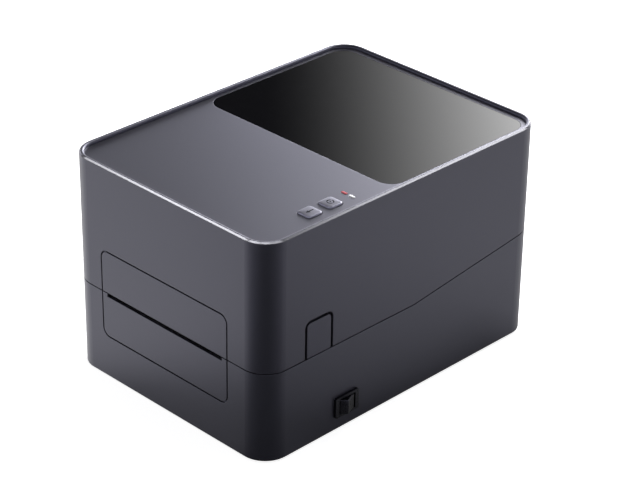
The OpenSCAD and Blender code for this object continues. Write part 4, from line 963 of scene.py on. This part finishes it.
def floorMaterial():
    material, tree = emptyMaterial("paleFloor")
    card = floorLook["card"]
    low, high = card[0][0], card[-1][0]
    place = addNode(tree, "ShaderNodeNewGeometry")
    split = addNode(tree, "ShaderNodeSeparateXYZ", {}, {0: (place, "Position")})
    across = addNode(tree, "ShaderNodeMath", {"operation": "ADD"}, {0: (split, "X"), 1: (split, "Y")})
    reach = addNode(tree, "ShaderNodeMapRange",
                    {"From Min": low * mm * math.sqrt(2), "From Max": high * mm * math.sqrt(2)},
                    {"Value": (across, 0)})
    ramp = addNode(tree, "ShaderNodeValToRGB", {}, {"Fac": (reach, 0)})
    stops = ramp.color_ramp.elements
    while len(stops) < len(card):
        stops.new(0.5)
    for stop, (where, level) in zip(stops, card):
        stop.position = (where - low) / (high - low)
        stop.color = [level / floorLook["cardTop"]] * 3 + [1]
    wall = bodyMm["side"] * mm
    # painted shadow: the mirrored floor dims close beside the right wall
    beside = addNode(tree, "ShaderNodeMapRange",
                     {"From Min": wall, "From Max": wall + floorLook["shadeMm"] * mm,
                      "To Min": floorLook["shade"], "To Max": 1.0}, {"Value": (split, "X")})
    start, full = floorLook["shadeStart"]
    ahead = addNode(tree, "ShaderNodeMapRange",
                    {"From Min": start, "From Max": full, "To Min": 1.0, "To Max": 0.0},
                    {"Value": (split, "Y")})
    near, far = floorLook["shadeEnd"]
    behind = addNode(tree, "ShaderNodeMapRange", {"From Min": near, "From Max": far},
                     {"Value": (split, "Y")})
    outside = addNode(tree, "ShaderNodeMath", {"operation": "MAXIMUM"}, {0: (ahead, 0), 1: (behind, 0)})
    shade = addNode(tree, "ShaderNodeMath", {"operation": "MAXIMUM"}, {0: (beside, 0), 1: (outside, 0)})
    # painted shade: a dark wedge of mirrored floor opening from the front corner
    fromCorner = addNode(tree, "ShaderNodeVectorMath",
                         {"operation": "SUBTRACT", 1: (*floorLook["wedge"], 0)}, {0: (place, "Position")})
    bearing = addNode(tree, "ShaderNodeVectorMath", {"operation": "NORMALIZE"}, {0: (fromCorner, 0)})
    aimed = addNode(tree, "ShaderNodeVectorMath",
                    {"operation": "DOT_PRODUCT", 1: (*floorLook["wedgeAim"], 0)}, {0: (bearing, 0)})
    inside = addNode(tree, "ShaderNodeMath", {"operation": "ADD", 1: floorLook["wedgeEdge"]},
                     {0: (aimed, "Value")})
    turned = addNode(tree, "ShaderNodeMath", {"operation": "MAXIMUM", 1: 0.0}, {0: (inside, 0)})
    fade = addNode(tree, "ShaderNodeMath", {"operation": "POWER", 0: floorLook["wedgeDark"]},
                   {1: (turned, 0)})
    paintedShade = addNode(tree, "ShaderNodeMath", {"operation": "MULTIPLY"}, {0: (shade, 0), 1: (fade, 0)})
    level = addNode(tree, "ShaderNodeMath", {"operation": "MULTIPLY", 1: floorLook["cardTop"]},
                    {0: (paintedShade, 0)})
    mirrored = addNode(tree, "ShaderNodeEmission", {}, {"Color": (ramp, "Color"), "Strength": (level, 0)})
    matte = addNode(tree, "ShaderNodeBsdfDiffuse", {"Color": linear(floorLook["colour"])})
    glow = addNode(tree, "ShaderNodeEmission", {"Color": linear("#ffffff"), "Strength": floorLook["glow"]})
    seen = addNode(tree, "ShaderNodeAddShader", {}, {0: (glow, 0), 1: (matte, 0)})
    path = addNode(tree, "ShaderNodeLightPath")
    gloss = addNode(tree, "ShaderNodeMixShader", {},
                    {0: (path, "Is Glossy Ray"), 1: (matte, 0), 2: (mirrored, 0)})
    final = addNode(tree, "ShaderNodeMixShader", {},
                    {0: (path, "Is Camera Ray"), 1: (gloss, 0), 2: (seen, 0)})
    finishMaterial(tree, final, 0)
    material.cycles.emission_sampling = "NONE"
    return material


def makeFloor():
    half = floorLook["half"]
    mesh = bpy.data.meshes.new("floor")
    corners = [(-half, -half, 0), (half, -half, 0), (half, half, 0), (-half, half, 0)]
    mesh.from_pydata(corners, [], [(0, 1, 2, 3)])
    floor = bpy.data.objects.new("floor", mesh)
    bpy.context.scene.collection.objects.link(floor)
    mesh.materials.append(floorMaterial())


# white to the camera; mirrored, a bright backdrop low down and a dark studio above it
worldLook = {"fill": 0.3, "studio": 0.03, "backdrop": 2.5, "tint": "#f4f4ff", "topDegrees": (17, 21)}


def makeWorld():
    world = bpy.data.worlds.new("studio")
    bpy.context.scene.world = world
    world.use_nodes = True
    world.cycles.sampling_method = "NONE"
    tree = world.node_tree
    tree.nodes.clear()
    path = addNode(tree, "ShaderNodeLightPath")
    fill = addNode(tree, "ShaderNodeBackground",
                   {"Color": linear("#ffffff"), "Strength": worldLook["fill"]})
    white = addNode(tree, "ShaderNodeBackground", {"Color": linear("#ffffff"), "Strength": 1.0})
    aim = addNode(tree, "ShaderNodeTexCoord")
    split = addNode(tree, "ShaderNodeSeparateXYZ", {}, {0: (aim, "Generated")})
    low, high = (math.sin(math.radians(a)) for a in worldLook["topDegrees"])
    band = addNode(tree, "ShaderNodeMapRange",
                   {"From Min": low, "From Max": high, "To Min": worldLook["backdrop"],
                    "To Max": worldLook["studio"]}, {"Value": (split, "Z")})
    mirrored = addNode(tree, "ShaderNodeBackground", {"Color": linear(worldLook["tint"])},
                       {"Strength": (band, 0)})
    lit = addNode(tree, "ShaderNodeMixShader", {},
                  {0: (path, "Is Glossy Ray"), 1: (fill, 0), 2: (mirrored, 0)})
    mixed = addNode(tree, "ShaderNodeMixShader", {},
                    {0: (path, "Is Camera Ray"), 1: (lit, 0), 2: (white, 0)})
    addNode(tree, "ShaderNodeOutputWorld", {}, {"Surface": (mixed, 0)})


# softboxes behind the printer. Places are metres behind the origin along the camera's line, to its right,
# and up; facing is degrees down from level. The fade is where the light starts and where it reaches its full
# level, in millimetres to the right, with the curve between
boxLook = {
    # the window and the top mirror this one
    "backPanel": {"place": (1.0, 0, 0.72), "facing": 29, "width": 1.8, "height": 1.4, "radiance": 4.62,
                  "fade": (-57, 282), "overshoot": 1.65, "power": 2.2, "tint": "#ffffff"},
    # low strip, below what the window mirrors
    "lowStrip": {"place": (0.62, 0.18, 0.25), "facing": 6, "width": 0.6, "height": 0.16, "radiance": 4.5,
                 "fade": (-120, 0), "overshoot": 1.0, "power": 1.0, "tint": "#ececff"}}
lampGain = 4  # node strength per unit of radiance and area, with the lamp at 1 W

# an arc of small softboxes for the edge lights, mirrored by the flat of the rim: place and aim in metres
edgeLook = {
    "leftBox": {"place": (-0.62, -0.61, 0.78), "aim": (0.0, -0.127, 0.158), "side": 0.34, "radiance": 15.5},
    "frontBox": {"place": (-0.07, -0.7, 0.97), "aim": (0.05, -0.125, 0.158), "side": 0.5, "radiance": 13},
    "topBox": {"place": (0.43, -0.46, 1.03), "aim": (0.087, -0.122, 0.158), "side": 0.45, "radiance": 10},
    "sideBox": {"place": (0.67, 0.02, 0.965), "aim": (0.09, -0.11, 0.158), "side": 0.5, "radiance": 7},
    "rightBox": {"place": (0.575, 0.82, 0.774), "aim": (0.092, 0.1, 0.158), "side": 0.36, "radiance": 12}}


def edgePieces():
    # what the edge lights reach: flags keep them off the window and the broad faces
    group = bpy.data.collections.new("edgePieces")
    for name in ("rimEdge", "feedKeyCap", "calKeyCap"):
        group.objects.link(bpy.data.objects[name])
    return group


def makeEdgeLight(name, look, group):
    data = bpy.data.lights.new(name, "AREA")
    data.shape = "SQUARE"
    data.size = look["side"]
    data.energy = look["radiance"] * look["side"] ** 2 * math.pi
    light = bpy.data.objects.new(name, data)
    turn = (Vector(look["aim"]) - Vector(look["place"])).to_track_quat("-Z", "Y")
    light.matrix_world = Matrix.Translation(look["place"]) @ turn.to_matrix().to_4x4()
    light.visible_camera = False
    light.visible_diffuse = False
    light.light_linking.receiver_collection = group
    bpy.context.scene.collection.objects.link(light)


def makeSoftbox(name, look):
    right, up, back = cameraAxes()
    level = Vector((right.x, right.y, 0)).normalized()
    away = Vector((-level.y, level.x, 0))
    behind, side, height = look["place"]
    tilt = math.radians(look["facing"])
    z = away * math.cos(tilt) + Vector((0, 0, math.sin(tilt)))
    centre = away * behind + level * side + Vector((0, 0, height))
    data = bpy.data.lights.new(name, "AREA")
    data.shape = "RECTANGLE"
    data.size, data.size_y = look["width"], look["height"]
    data.energy = 1.0
    data.use_nodes = True
    tree = data.node_tree
    tree.nodes.clear()
    place = addNode(tree, "ShaderNodeNewGeometry")
    split = addNode(tree, "ShaderNodeSeparateXYZ", {}, {0: (place, "Parametric")})
    start, full = ((at * mm - side) / look["width"] + 0.5 for at in look["fade"])
    end = start + (full - start) * look["overshoot"]
    ramp = addNode(tree, "ShaderNodeMapRange",
                   {"From Min": start, "From Max": end, "To Max": look["overshoot"]}, {"Value": (split, "X")})
    curve = addNode(tree, "ShaderNodeMath", {"operation": "POWER", 1: look["power"]}, {0: (ramp, 0)})
    strength = look["radiance"] * look["width"] * look["height"] * lampGain
    gain = addNode(tree, "ShaderNodeMath", {"operation": "MULTIPLY", 1: strength}, {0: (curve, 0)})
    glow = addNode(tree, "ShaderNodeEmission", {"Color": linear(look["tint"])}, {"Strength": (gain, 0)})
    addNode(tree, "ShaderNodeOutputLight", {}, {"Surface": (glow, 0)})
    light = bpy.data.objects.new(name, data)
    light.matrix_world = Matrix.Translation(centre) @ Matrix((level, z.cross(level), z)).transposed().to_4x4()
    light.visible_camera = False
    bpy.context.scene.collection.objects.link(light)


bpy.context.scene.view_settings.view_transform = "Standard"
makeFloor()
makeWorld()
makeCamera()
for name, look in boxLook.items():
    makeSoftbox(name, look)
reached = edgePieces()
for name, look in edgeLook.items():
    makeEdgeLight(name, look, reached)
print("stage done")
